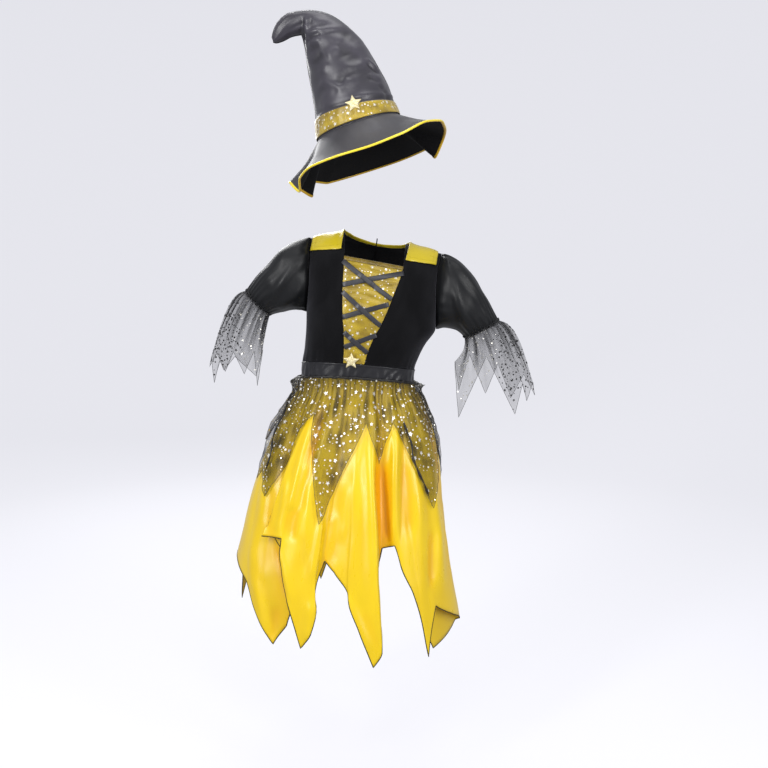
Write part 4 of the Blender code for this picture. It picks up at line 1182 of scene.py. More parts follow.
def starred_satin(name, light, dark):
    """Gold satin under a tight net: dark diamond threads and bright glints between them."""
    cloth = Cloth(name)
    colour = cloth.blend(cloth.spread(cloth.noise(30, 60), 0.36, 0.64), light, dark)
    waves = []
    for turn in (math.radians(48), math.radians(-48)):
        mapping = cloth.node("ShaderNodeMapping")
        mapping.inputs["Rotation"].default_value = (0, 0, turn)
        cloth.link(cloth.place.outputs[0], mapping.inputs[0])
        wave = cloth.node("ShaderNodeTexWave")
        wave.inputs["Scale"].default_value = 330
        cloth.link(mapping.outputs[0], wave.inputs["Vector"])
        waves.append(wave.outputs["Fac"])
    thread = cloth.maths("MAXIMUM", waves[0], waves[1])
    colour = cloth.blend(cloth.spread(thread, 0.6, 1.0, 0.0, 0.7), colour, (0.10, 0.065, 0.004))
    soft = cloth.bump(cloth.noise(90, 160, 2.0), 0.0012, 0.7)
    normal = cloth.bump(thread, 0.0001, 0.5, soft)
    cloth.set(base_color=colour, roughness=0.3, normal=normal, sheen_weight=0.2)
    return cloth.material


def glitter(name, light, dark):
    """Coarse glitter set in clear glue."""
    cloth = Cloth(name)
    specks = cloth.node("ShaderNodeTexVoronoi")
    specks.inputs["Scale"].default_value = 1.0
    coordinates = cloth.node("ShaderNodeTexCoord")
    mapping = cloth.node("ShaderNodeMapping")
    mapping.inputs["Scale"].default_value = (1500, 1500, 1500)
    cloth.link(coordinates.outputs["Object"], mapping.inputs[0])
    cloth.link(mapping.outputs[0], specks.inputs["Vector"])
    shade = cloth.node("ShaderNodeSeparateColor")
    cloth.link(specks.outputs["Color"], shade.inputs[0])
    colour = cloth.blend(cloth.spread(shade.outputs[0], 0.1, 0.9), dark, light)
    gloss = cloth.spread(shade.outputs[1], 0, 1, 0.18, 0.6)
    normal = cloth.bump(shade.outputs[2], 0.0002, 0.8)
    cloth.set(base_color=colour, roughness=gloss, normal=normal, metallic=0.45)
    return cloth.material


def plain(name, light, dark, roughness, metallic=0.0, specular=0.5):
    """Thread, print and trim: one colour with slight uneven wear."""
    cloth = Cloth(name)
    coordinates = cloth.node("ShaderNodeTexCoord")
    noise = cloth.node("ShaderNodeTexNoise")
    noise.inputs["Scale"].default_value = 350
    cloth.link(coordinates.outputs["Object"], noise.inputs["Vector"])
    colour = cloth.blend(cloth.spread(noise.outputs["Fac"], 0.35, 0.65), light, dark)
    normal = cloth.bump(noise.outputs["Fac"], 0.0002, 0.5)
    cloth.set(
        base_color=colour, roughness=roughness, metallic=metallic, normal=normal,
        specular_ior_level=specular
    )
    return cloth.material


BLACK_VELVET = velvet("black velvet", (0.0060, 0.0060, 0.0068), (0.0022, 0.0022, 0.0026))
BLACK_LINING = plain("black lining", (0.012, 0.012, 0.014), (0.007, 0.007, 0.008), 0.6, specular=0.2)
BLACK_SATIN = satin(
    "black satin", (0.0085, 0.0090, 0.0100), (0.0050, 0.0055, 0.0065), 0.44, 0.0012, specular=0.30,
    sheen=0.02
)
BAND_SATIN = satin(
    "waistband satin", (0.016, 0.016, 0.019), (0.009, 0.009, 0.011), 0.36, 0.0015, specular=0.40, sheen=0.02
)
RIBBON_SATIN = satin(
    "ribbon satin", (0.034, 0.034, 0.040), (0.020, 0.020, 0.024), 0.36, 0.0003, specular=0.45, sheen=0.05
)
GOLD_SATIN = satin("gold satin", (0.60, 0.47, 0.018), (0.46, 0.35, 0.010), 0.30, 0.0010)
GOLD_NET = starred_satin("gold star net", (0.62, 0.44, 0.025), (0.30, 0.20, 0.010))
# The third colour is painted shade: the orange that light bounced between the folds gives in the hollows.
YELLOW_SATIN = satin(
    "yellow satin", (0.84, 0.585, 0.006), (0.78, 0.525, 0.004), 0.30, 0.0009, (0.80, 0.36, 0.002)
)
YELLOW_INSIDE = satin("yellow satin inside", (0.74, 0.50, 0.006), (0.68, 0.44, 0.004), 0.5, 0.0006)
OVER_NET = net("dark net over yellow", (0.016, 0.014, 0.010), 0.17, 0.55, 230)
FRILL_NET = net("dark star net", (0.030, 0.030, 0.034), 0.14, 0.60, 230)
ROLLED_NET = plain("rolled black net", (0.012, 0.010, 0.008), (0.004, 0.004, 0.004), 0.5)
GLITTER = glitter("gold glitter", (0.95, 0.88, 0.62), (0.62, 0.50, 0.20))
# The third colour is painted shade for the troughs of the cone.
HAT_SATIN = satin(
    "dark hat satin", (0.050, 0.046, 0.060), (0.026, 0.024, 0.032), 0.38, 0.0014, (0.012, 0.011, 0.015),
    0.6, 0.12
)
BRIM_CLOTH_OUT = satin("brim satin", (0.040, 0.039, 0.046), (0.028, 0.027, 0.032), 0.46, 0.0005, specular=0.4)
BRIM_CLOTH_IN = plain("black brim inside", (0.007, 0.007, 0.008), (0.004, 0.004, 0.005), 0.8, specular=0.15)
BRIGHT_BINDING = satin("bright yellow binding", (0.86, 0.70, 0.035), (0.80, 0.62, 0.025), 0.32, 0.0003)
# A darker copy of the same binding for its underside: painted shade.
SHADED_BINDING = satin("yellow binding with painted shade", (0.66, 0.42, 0.012), (0.58, 0.34, 0.010), 0.36, 0.0003)
SILVER_FOIL = plain("silver foil", (0.92, 0.90, 0.84), (0.75, 0.73, 0.66), 0.28, 0.45)
BLACK_FOIL = plain("black foil", (0.010, 0.010, 0.012), (0.005, 0.005, 0.006), 0.45, specular=0.3)
BLACK_THREAD = plain("black thread", (0.016, 0.012, 0.008), (0.007, 0.006, 0.005), 0.7)
GOLD_THREAD = plain("gold thread", (0.46, 0.36, 0.02), (0.34, 0.25, 0.01), 0.5)
GREY_THREAD = plain("grey net edge", (0.035, 0.035, 0.038), (0.02, 0.02, 0.022), 0.6)
BLACK_NET = net("black net", (0.006, 0.006, 0.007), 0.50, 0.85, 230)
DARK_GOLD_NET = starred_satin("dark gathered net", (0.26, 0.17, 0.012), (0.12, 0.08, 0.006))
SEAM_THREAD = plain("dark seam", (0.008, 0.0075, 0.009), (0.005, 0.0045, 0.006), 0.7, specular=0.2)


def dress(piece, node):
    ride_as(piece)
    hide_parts(node)


def outward_of(grid, wraps, facing):
    return surface_normals(grid, wraps) * facing


def settle(grid, wraps, normals, heights):
    """The grid moved out by its heights, with fresh normals on the same side."""
    moved = grid + normals * heights[:, :, None]
    fresh = surface_normals(moved, wraps)
    turned = np.sign(np.einsum("ijk,ijk->ij", fresh, normals))[:, :, None]
    return moved, fresh * np.where(turned == 0, 1, turned)


# Dress
CLOTH = 0.0007
NET_CLOTH = 0.0004


def build_bodice(side):
    levels = bodice_levels(34, 34)
    facing = -1 if side == "right" else 1
    neck_depth = SHOULDER_HEIGHT - BACK_NECK_HEIGHT
    below = np.clip((SHOULDER_HEIGHT - levels) / neck_depth, 0, 1)
    neck_out = 0.057 * np.sqrt(1 - below ** 2)
    spans = {
        "front": (
            front_edge_turn(side, levels) + gap_turn(side, levels),
            armhole_turn(side, levels) - gap_turn(side, levels),
            -1,
        ),
        "back": (180 - armhole_turn(side, levels) + gap_turn(side, levels),
                 180 - turn_at(side, neck_out, levels) - gap_turn(side, levels) * 0.5, 1),
    }
    for face, (first, last, sign) in spans.items():
        shares = np.linspace(0, 1, 46)
        grid = np.array([torso_surface(side, first + (last - first) * share, levels) for share in shares])
        grid = grid + np.array([0.0, sign * SEAM_GAP / 2, 0.0])
        normals = outward_of(grid, False, facing)
        flat = flat_map(grid, False)
        ease = soft_step(np.minimum(shares, 1 - shares) / 0.12)[:, None]
        foot = np.exp(-(levels - levels[0]) / 0.018)[None]
        heights = 0.0006 * drift(flat, 0.060, 5 + len(face)) * ease
        turn = flat[..., 0] * 2 * math.pi / 0.011 + 1.3 * np.sin(flat[..., 0] * 190)
        heights = heights + 0.0005 * foot * np.sin(turn) * ease
        heights = heights - 0.0004
        grid, normals = settle(grid, False, normals, heights)
        piece = wall(
            "velvet_" + face + "_" + side, grid, normals, CLOTH + 0.0003, False,
            (BLACK_VELVET, BLACK_LINING)
        )
        dress(piece, "bodice_" + face + "_" + side)
        if face == "back":
            back_edge = grid[-1]
    return back_edge


def panel_grid(columns, rows, top):
    levels = np.linspace(WAISTBAND_HEIGHT + 2 * SEAM_GAP, top, rows)
    right = -front_edge_turn("right", levels) + gap_turn("right", levels)
    left = front_edge_turn("left", levels) - gap_turn("left", levels)
    lines = []
    for share in np.linspace(0, 1, columns):
        turn = right + (left - right) * share
        on_right = torso_surface("right", np.minimum(turn, 0), levels)
        on_left = torso_surface("left", np.maximum(turn, 0), levels)
        lines.append(np.where((turn < 0)[:, None], on_right, on_left))
    return np.array(lines), levels


def build_panel():
    grid, levels = panel_grid(64, 110, PANEL_TOP)
    normals = outward_of(grid, False, 1)
    flat = flat_map(grid, False)
    shares = np.linspace(0, 1, 64)
    ease = soft_step(np.minimum(shares, 1 - shares) / 0.10)[:, None]
    heights = 0.0005 * drift(flat, 0.022, 11) * ease
    sag = soft_step((levels - 0.10) / 0.05) * soft_step((PANEL_TOP - levels) / 0.02)
    heights = (
        heights
        + 0.0006 * np.sin(flat[..., 1] * 2 * math.pi / 0.013 + 2 * drift(flat, 0.05, 3)) * ease * sag[None]
    )
    heights = heights - 0.0003
    grid, normals = settle(grid, False, normals, heights)
    piece = wall("starred_panel", grid, normals, CLOTH, False, (GOLD_NET, BLACK_LINING))
    dress(piece, "front_panel")
    sprinkle(
        "panel_stars", grid, normals, False, CLOTH - 0.0003, SILVER_FOIL, 21, 105, (2.2, 3.6), (0.8, 1.5),
        0.42, None
    )
    band, band_levels = panel_grid(220, 10, PANEL_TOP)
    band_levels = np.linspace(PANEL_TOP - 0.0062, PANEL_TOP + 0.0004, 10)
    lines = []
    right = -front_edge_turn("right", band_levels)
    left = front_edge_turn("left", band_levels)
    for share in np.linspace(0.004, 0.996, 220):
        turn = right + (left - right) * share
        on_right = torso_surface("right", np.minimum(turn, 0), band_levels)
        on_left = torso_surface("left", np.maximum(turn, 0), band_levels)
        lines.append(np.where((turn < 0)[:, None], on_right, on_left))
    band = np.array(lines)
    normals = outward_of(band, False, 1)
    flat = flat_map(band, False)
    across = np.sin(np.linspace(0, math.pi, 10))[None]
    heights = 0.0008 + across * (0.0007 + 0.0006 * uneven_gathers(flat, 0.0042, 4))
    band, normals = settle(band, False, normals, heights)
    piece = wall("panel_gathered_edge", band, normals, 0.0006, False, (DARK_GOLD_NET,))
    ride_as(piece)


def build_waist():
    turns = np.linspace(-179.9, 179.9, 420)
    levels = np.linspace(WAISTBAND_HEIGHT, 0.0, 16)
    grid = []
    for turn in turns:
        side = "right" if turn < 0 else "left"
        grid.append(torso_surface(side, np.full(len(levels), abs(turn)), levels))
    grid = np.array(grid)
    normals = outward_of(grid, False, -1)
    flat = flat_map(grid, False)
    inside = np.sin(np.linspace(0, math.pi, 16))[None] ** 0.5
    low = soft_step(np.linspace(0, 1, 16))[None]
    wrinkle = uneven_gathers(flat, 0.015, 8) * (0.35 + 0.65 * low)
    slant = uneven_gathers(flat + np.stack([flat[..., 1] * 0.8, 0 * flat[..., 1]], -1), 0.021, 2)
    heights = 0.0004 + 0.0007 * wrinkle * inside + 0.0005 * slant * inside
    heights = heights + 0.0008 * (np.exp(-((flat[..., 1] - 0.0015) / 0.0012) ** 2))
    grid, normals = settle(grid, False, normals, heights)
    piece = wall("wrinkled_waistband", grid, normals, CLOTH, False, (BAND_SATIN, BLACK_LINING))
    dress(piece, "waistband")


def collar_grid(side, rows, across):
    read = reader(COLLAR_ROWS, COLLAR_COLUMNS, "share")
    shares = np.linspace(0, 1, across)
    lines = []
    lifts = []
    for along in np.linspace(0, 1, rows):
        out = read("inner_out", along) + (read("outer_out", along) - read("inner_out", along)) * shares
        over = read("inner_over", along) + (read("outer_over", along) - read("inner_over", along)) * shares
        lines.append(over_shoulder(side, out * MM, over))
        lifts.append(COLLAR_LIFT + COLLAR_STAND * np.exp(-shares / 0.12))
    return np.array(lines), np.array(lifts), shares


def build_collar(side):
    grid, lifts, shares = collar_grid(side, 90, 30)
    facing = 1 if side == "right" else -1
    normals = outward_of(grid, False, facing)
    flat = flat_map(grid, False)
    end = np.linspace(0, 1, 90)[:, None]
    rim = np.exp(-(1 - shares)[None] / 0.05) + np.exp(-end / 0.012)
    puff = 0.0007 * (1 - np.exp(-(1 - shares)[None] / 0.10)) * (1 - np.exp(-end / 0.03))
    heights = lifts + puff - 0.0006 + 0.0005 * drift(flat, 0.035, 31) - 0.0004 * rim
    grid, normals = settle(grid, False, normals, heights)
    piece = wall("gold_collar_" + side, grid, normals, 0.0011, False, (GOLD_SATIN,))
    dress(piece, "collar_" + side)
    path = np.concatenate([grid[4:, -5][::-1], grid[4, 2:-5][::-1]])
    out = np.concatenate([normals[4:, -5][::-1], normals[4, 2:-5][::-1]])
    stitches(
        "collar_stitches_" + side, path + out * 0.0001, out, 0.0024, 0.0009, 0.00028, GOLD_THREAD,
    )


def build_lace(lace, arch_at):
    name, start_out, start_up, end_out, end_up = lace
    run = np.array([end_out - start_out, end_up - start_up], dtype=float)
    length = np.linalg.norm(run)
    aside = np.array([-run[1], run[0]]) / length * LACE_WIDTH / MM * 0.5
    lines = []
    normals = []
    for share in np.linspace(0.0, 1.0, 60):
        arch = 0
        if arch_at is not None:
            beyond = abs(share - arch_at) * length - LACE_CROSSING
            arch = LACE_ARCH * soft_step(1 - beyond / LACE_RAMP)
        held = min(share, 1 - share) * length
        sink = 0.0012 * math.exp(-held / 2.0)
        twist = 0.0004 * math.sin(share * 5.1 + start_up) * soft_step(held / 10)
        line = []
        facing = []
        for edge in np.linspace(-1, 1, 9):
            out, up = np.array([start_out, start_up]) + run * share + aside * edge
            spot = panel_point(out, up)
            normal = panel_normal(out, up)
            rounding = 0.0002 * (1 - edge ** 2) + 0.0002 * math.exp(-((abs(edge) - 0.86) / 0.07) ** 2)
            line.append(
                spot + normal * (LACE_LIFT + LACE_CLOTH - 0.0002 + arch - sink + twist * edge + rounding)
            )
            facing.append(normal)
        lines.append(line)
        normals.append(facing)
    piece = wall("ribbon_" + name, np.array(lines), np.array(normals), 0.0006, False, (RIBBON_SATIN,))
    dress(piece, name)


def build_star(name, node, centre, across, upward, normal):
    """A puffed five pointed star with rounded arms and a flat back."""
    steps = 12
    rings = 9
    outline = []
    for k in range(10):
        for m in range(steps):
            first = STAR_SHAPE[k] * (1 if k % 2 == 0 else 1.12)
            second = STAR_SHAPE[(k + 1) % 10] * (1 if k % 2 == 1 else 1.12)
            outline.append(first + (second - first) * m / steps)
    outline = np.array(outline)
    around = len(outline)
    smooth = outline
    for _ in range(3):
        smooth = (np.roll(smooth, 1, axis=0) + 2 * smooth + np.roll(smooth, -1, axis=0)) / 4
    points = []
    for r in range(rings):
        share = 1 - r / (rings - 1) * 0.96
        height = STAR_THICKNESS * 0.65 * (1 - share ** 3) ** 0.6
        for x, y in smooth:
            points.append(centre + (across * x + upward * y) * STAR_RADIUS * share + normal * height)
    for x, y in smooth:
        points.append(
            centre + (across * x + upward * y) * STAR_RADIUS * 0.97 - normal * STAR_THICKNESS * 0.33
        )
    points.append(centre + normal * STAR_THICKNESS * 0.65)
    points.append(centre - normal * STAR_THICKNESS * 0.33)
    faces = []
    for k in range(around):
        after = (k + 1) % around
        for r in range(rings - 1):
            faces.append((r * around + k, r * around + after, (r + 1) * around + after, (r + 1) * around + k))
        faces.append(((rings - 1) * around + k, (rings - 1) * around + after, (rings + 1) * around))
        faces.append((k, rings * around + k, rings * around + after, after))
        faces.append((rings * around + after, rings * around + k, (rings + 1) * around + 1))
    piece = mesh_piece(name, np.array(points), faces, [GLITTER])
    face_outward(piece)
    dress(piece, node)


def build_waist_star():
    centre = panel_point(*WAIST_STAR)
    normal = panel_normal(*WAIST_STAR)
    upward = np.array([0.05, 0.0, 1.0])
    upward = unit(upward - normal * np.dot(upward, normal))
    build_star(
        "waist_glitter_star", "waist_star", centre + normal * WAIST_STAR_LIFT, np.cross(upward, normal),
        upward, normal
    )


def sleeve_turns(count):
    return np.arange(0, 360, 360 / count)


def build_sleeve(side, table, rows_of_creases):
    turns = sleeve_turns(200)
    shares = np.concatenate([[0], np.linspace(0.03, 1, 70)])
    grid = sleeve_surface(table, turns, shares, 0)
    ring = armhole_ring(side, turns)
    hold = np.exp(-shares / 0.035)[None, :, None]
    grid = grid * (1 - hold) + (ring[:, None] + (grid - grid[:, :1])) * hold
    grid[:, 0] = ring
    facing = -1 if side == "right" else 1
    normals = outward_of(grid, True, facing)
    flat = flat_map(grid, True)[:-1]
    round_way = np.radians(turns)[:, None]
    cap = np.exp(-shares / 0.16)[None] * soft_step(shares / 0.03)[None]
    cuff = np.exp(-(1 - shares) / 0.20)[None]
    seed = 1.0 if side == "right" else 2.3
    many = np.sin(23 * round_way + 1.7 * np.sin(5 * round_way + seed) + seed)
    some = np.sin(15 * round_way + 1.9 * np.sin(4 * round_way + seed * 2))
    front = np.clip(np.sin(round_way) * 2, 0, 1)
    heights = 0.0011 * many * cuff + 0.0009 * some * cap * (0.4 + 0.6 * np.cos(round_way) ** 2)
    heights = heights + 0.0010 * drift(flat, 0.060, 41) * np.sin(np.pi * shares)[None]
    creases = crease_heights(grid, rows_of_creases) * (0.7 + 0.3 * front)
    heights = heights + creases * soft_step(shares / 0.05)[None]
    grid, normals = settle(grid, True, normals, heights)
    piece = wall("puff_sleeve_" + side, grid, normals, CLOTH, True, (BLACK_SATIN, BLACK_LINING))
    dress(piece, "sleeve_" + side)
    ruffle_turns = sleeve_turns(420)
    end = sleeve_surface(table, ruffle_turns, np.array([0.93, 1.0]), 0)
    middle = end[:, 1].mean(axis=0)
    outward = unit(end[:, 1] - middle)
    along = unit(end[:, 1].mean(axis=0) - end[:, 0].mean(axis=0))
    angle = np.radians(ruffle_turns)
    wave = np.sin(31 * angle + 2.1 * np.sin(4 * angle + seed)) * (0.8 + 0.2 * np.sin(7 * angle))
    lines = []
    for share in np.linspace(0, 1, 10):
        reach = (share - 0.15) * 0.0085
        lift = 0.0012 + 0.0012 * math.sin(math.pi * share) + 0.0016 * share * wave
        lines.append(
            end[:, 1] - along * reach * (0.8 + 0.2 * np.sin(3 * angle))[:, None] + outward * lift[:, None]
        )
    ruffle = np.stack(lines, axis=1)
    out = np.repeat(outward[:, None], 10, axis=1)
    piece = wall("cuff_ruffle_" + side, ruffle, out, 0.0004, True, (BLACK_NET,))
    ride_as(piece)


def build_frill(side, edge, sleeve):
    degrees = column(edge, FRILL_COLUMNS, "round")
    knots = np.append(degrees, degrees[0] + 360)
    turns = even_between(knots, [18] * len(degrees))[:-1]
    cuff = sleeve_surface(sleeve, turns, np.array([0.90, 1.0]), 0)
    middle = cuff[:, 1].mean(axis=0)
    outward = unit(cuff[:, 1] - middle)
    along = unit(cuff[:, 1].mean(axis=0) - cuff[:, 0].mean(axis=0))
    start = cuff[:, 1] + outward * 0.0006 + along * 0.0006
    lower = []
    for axis_name in ("x", "y", "z"):
        values = column(edge, FRILL_COLUMNS, axis_name)
        lower.append(np.interp(turns, knots, np.append(values, values[0])) * MM)
    lower = np.stack(lower, axis=-1)
    spring = (1.2 + np.cos(np.radians(turns)))[:, None] / 2.2
    bend = start + outward * 0.022 * spring + along * 0.018
    shares = np.linspace(0, 1, 34)[None, :, None]
    hang = (1 - shares) ** 2 * start[:, None] + 2 * shares * (1 - shares) * bend[:, None]
    hang = hang + shares ** 2 * lower[:, None]
    number = np.arange(len(turns)) / 18
    wave = np.cos(2 * math.pi * number)[:, None]
    angle = np.radians(turns)[:, None]
    seed = 0.6 if side == "right" else 1.9
    fine = np.sin(41 * angle + 2.4 * np.sin(6 * angle + seed))
    medium = np.sin(19 * angle + 2.0 * np.sin(5 * angle + seed * 2))
    s = shares[:, :, 0]
    heights = 0.0026 * wave * np.sin(np.pi * np.clip(s * 1.1, 0, 1))
    heights = heights + 0.0011 * fine * np.exp(-s / 0.28) * soft_step(s / 0.03)
    heights = heights + 0.0020 * medium * soft_step(s / 0.15) * np.exp(-((s - 0.45) / 0.4) ** 2)
    grid = hang + outward[:, None] * heights[:, :, None]
    facing = -1 if side == "right" else 1
    normals = outward_of(grid, True, facing)
    # Net opacity: more near the cuff where the net is gathered, and more in the troughs of the waves, a
    # painted shade.
    net_density_and_shade = 0.8 * np.exp(-s / 0.22) + 0.9 * np.clip(-heights / 0.0035, 0, 1) * (1 - 0.6 * s)
    piece = wall("net_frill_" + side, grid, normals, NET_CLOTH, True, (FRILL_NET,), np.clip(net_density_and_shade, 0, 1))
    dress(piece, "cuff_frill_" + side)
    split = -0.245 if side == "right" else 0.215
    sign = -1 if side == "right" else 1

    def outside(centre):
        return (centre[0] - split) * sign > 0

    def inside(centre):
        return not outside(centre)

    sprinkle(
        "frill_dark_stars_" + side, grid, normals, True, NET_CLOTH, BLACK_FOIL, 51, 190, (1.5, 3.0),
        (0.8, 1.9), 0.45, outside
    )
    sprinkle(
        "frill_silver_stars_" + side, grid, normals, True, NET_CLOTH, SILVER_FOIL, 52, 100, (1.4, 2.8),
        (0.7, 1.4), 0.45, inside
    )
    cord_mesh(
        "frill_edge_" + side, grid[:, -1] - normals[:, -1] * NET_CLOTH / 2, 0.00035, 5, GREY_THREAD,
        closed=True
    )


# Skirt
def skirt_normals(turns, reach, span):
    before = skirt_all_round(turns - span, reach)
    after = skirt_all_round(turns + span, reach)
    grid = skirt_all_round(turns, reach)
    return grid, unit(-np.cross(after - before, np.gradient(grid, axis=1)))


def satin_folds(turns, grid, reach):
    """Heights in metres of the skirt's pleats and creases, the same for the satin and the net on it."""
    round_waist = np.stack([turns[:, None] * 0.00167 + 0 * reach, reach * MM], axis=-1)
    broad = uneven_gathers(round_waist, 0.0165, 6) * np.exp(-reach / 85) * soft_step(reach / 9)
    narrow = uneven_gathers(round_waist, 0.0062, 9) * np.exp(-reach / 26) * soft_step(reach / 7)
    sway = drift(round_waist * np.array([1.0, 0.25]), 0.055, 61)
    front_face = grid[..., 1] < 0
    mirrored = grid * np.array([-1, 1, 1]) - np.array([0.06, 0, 0])
    creases = np.where(
        front_face, crease_heights(grid, SKIRT_CREASES), crease_heights(mirrored, SKIRT_CREASES)
    )
    edge_on = np.clip(np.abs(np.cos(np.radians(turns)))[:, None] * 2.2, 0, 1)
    depth = np.clip((reach - 4) / 60, 0, 1)
    creases = creases * 1.25 * depth * edge_on
    return 0.0024 * broad + 0.0006 * narrow + 0.0016 * sway * depth + creases, creases


def build_skirt(name, node, hem, counts):
    knots = column(hem, HEM_COLUMNS, "waist")
    turns = seamed_turns(knots, counts)
    drops = np.interp(turns, knots, column(hem, HEM_COLUMNS, "drop"))
    shares = np.concatenate([np.linspace(0, 0.12, 12, endpoint=False), np.linspace(0.12, 1, 52)])
    reach = drops[:, None] * shares[None]
    grid, normals = skirt_normals(turns, reach, 0.8)
    for _ in range(3):
        normals[1:-1] = unit(normals[:-2] + 2 * normals[1:-1] + normals[2:])
    heights, creases = satin_folds(turns, grid, reach)
    grid, normals = settle(grid, False, normals, heights)
    fold = reader(hem, HEM_COLUMNS, "waist")("fold", turns)[:, None] * shares[None]
    # Painted shade: the yellow satin is blended towards orange in the troughs of the creases and of the
    # inward folds.
    shade_and_density_grid = np.clip(-creases / 0.005, 0, 1) * 0.7 + np.clip(-fold / 18, 0, 0.5)
    piece = wall(name, grid, normals, CLOTH, False, (YELLOW_SATIN, YELLOW_INSIDE), np.clip(shade_and_density_grid, 0, 1))
    dress(piece, node)
    edge = grid[:, -1] - normals[:, -1] * CLOTH / 2
    cord_mesh(name + "_overlocked_hem", edge, 0.00085, 7, BLACK_THREAD)


def build_overskirt(name, node, edge):
    knots = column(edge, OVERSKIRT_COLUMNS, "waist")
    turns = seamed_turns(knots, [22] * (len(knots) - 1))
    drops = np.interp(turns, knots, column(edge, OVERSKIRT_COLUMNS, "drop"))
    flare = np.interp(turns, knots, column(edge, OVERSKIRT_COLUMNS, "flare"))
    shares = np.linspace(0, 1, 42)
    reach = drops[:, None] * shares[None]
    side = np.abs(np.sin(np.radians(turns))) ** 8
    puff = SIDE_PUFF * side[:, None] * np.exp(-((reach - 12) / 12) ** 2)
    hang = OVERSKIRT_FLARE * flare[:, None] * shares[None] ** 2
    grid, normals = skirt_normals(turns, reach, NET_SPAN)
    folds = satin_folds(turns, grid, reach)[0]
    round_waist = np.stack([turns[:, None] * 0.00167 + 0 * reach, reach * MM], axis=-1)
    pleats = uneven_gathers(round_waist, 0.0082, 16) * np.exp(-reach / 75) * soft_step(reach / 7)
    ripple = drift(round_waist, 0.030, 71) * soft_step(reach / 40)
    curl = 0.0016 * np.exp(-(1 - shares)[None] * drops[:, None] / 6) * drift(round_waist, 0.040, 72)
    own = 0.0016 * pleats + 0.0007 * ripple
    heights = OVERSKIRT_LIFT + puff + hang + folds + own + np.abs(curl)
    grid, normals = settle(grid, False, normals, heights)
    # Net opacity: more in the troughs of the pleats, a painted shade, and more near the waist and at the
    # sides.
    shade_and_density_grid = 0.75 * np.clip(-own / 0.0012, 0, 1) + 0.35 * np.exp(-reach / 9) + 0.45 * side[:, None]
    piece = wall(name, grid, normals, NET_CLOTH, False, (OVER_NET,), np.clip(shade_and_density_grid, 0, 1))
    dress(piece, node)
    sprinkle(
        name + "_stars", grid, normals, False, NET_CLOTH, SILVER_FOIL, 81, 520, (3.2, 5.0), (0.7, 2.0),
        0.13, None
    )
    cord_mesh(
        name + "_edge", grid[:, -1] - normals[:, -1] * NET_CLOTH / 2, 0.00035, 5, GREY_THREAD,
    )
    return grid, normals


def build_rolled_fold(name, grid, normals, from_x, from_z, to_x, to_z):
    """The net's edge rolled up into a dark rope along a line of the front view in mm."""
    seen = grid[..., 1] < 0.02
    points = grid[seen]
    outs = normals[seen]
    line = []
    for share in np.linspace(0, 1, 40):
        bow = 4.0 * math.sin(math.pi * share) * math.sin(share * 9)
        spot = np.array([from_x + (to_x - from_x) * share + bow, from_z + (to_z - from_z) * share]) * MM
        apart = np.linalg.norm(points[:, [0, 2]] - spot, axis=1)
        near = np.argsort(apart)[:8]
        line.append(points[near].mean(axis=0) + outs[near].mean(axis=0) * 0.0008)
    line = np.array(line)
    for _ in range(3):
        line[1:-1] = (line[:-2] + 2 * line[1:-1] + line[2:]) / 4
    shares = np.linspace(0, 1, 40)
    radius = 0.0021 * (0.75 + 0.25 * np.sin(shares * 31)) * np.clip((1 - shares) * 9, 0.25, 1)
    cord_mesh(name, line, radius, 8, ROLLED_NET)


# Hat
def build_cone(name, node, first_turn, rows_of_creases, front):
    shares = np.linspace(0, 1, 150)
    inset = np.degrees(SEAM_GAP / MM * 1.2 / read_cone("depth", shares))
    turns = first_turn + inset + (180 - 2 * inset) * np.linspace(0, 1, 84)[:, None]
    grid = cone_surface(turns, shares)
    normals = outward_of(grid, False, 1)
    flat = flat_map(grid, False)
    across = np.linspace(0, 1, 84)
    ease = soft_step(np.minimum(across, 1 - across) / 0.05)[:, None]
    size = np.clip(read_cone("depth", shares) / 40, 0.25, 1)[None]
    heights = 0.0011 * drift(flat, 0.050, 91) + 0.0006 * drift(flat, 0.026, 92)
    heights = heights - 0.0016 * np.exp(-((shares - HAT_BAND_TOP - 0.018) / 0.010) ** 2)[None]
    above_tuck = np.exp(-((shares - HAT_BAND_TOP - 0.045) / 0.016) ** 2)[None]
    heights = heights + 0.0016 * above_tuck * (0.6 + 0.4 * drift(flat, 0.07, 93))
    heights = heights + crease_heights(grid, rows_of_creases) * (1.0 if front else 0.8)
    under = soft_step((shares - HAT_BAND_TOP) / 0.02)[None]
    heights = heights * ease * size * under - 0.0002
    grid, normals = settle(grid, False, normals, heights)
    # Painted shade: the hat satin is blended towards its darker shade colour in the troughs.
    shade_and_density_grid = np.clip(-heights / 0.003, 0, 1)
    piece = wall(name, grid, normals, CLOTH, False, (HAT_SATIN, BLACK_LINING), shade_and_density_grid)
    dress(piece, node)
    return grid


def build_cone_seams(front_grid, back_grid):
    for number, (near, far) in enumerate(((front_grid[0], back_grid[-1]), (front_grid[-1], back_grid[0]))):
        path = (near + far) / 2
        middle = front_grid.mean(axis=0)
        out = unit(path - middle)
        radius = np.clip(np.linspace(0.0011, 0.0009, len(path)), 0, 1)
        cord_mesh(
            "hat_seam_" + ("right", "left")[number], path + out * 0.0001, radius, 6, SEAM_THREAD,
        )


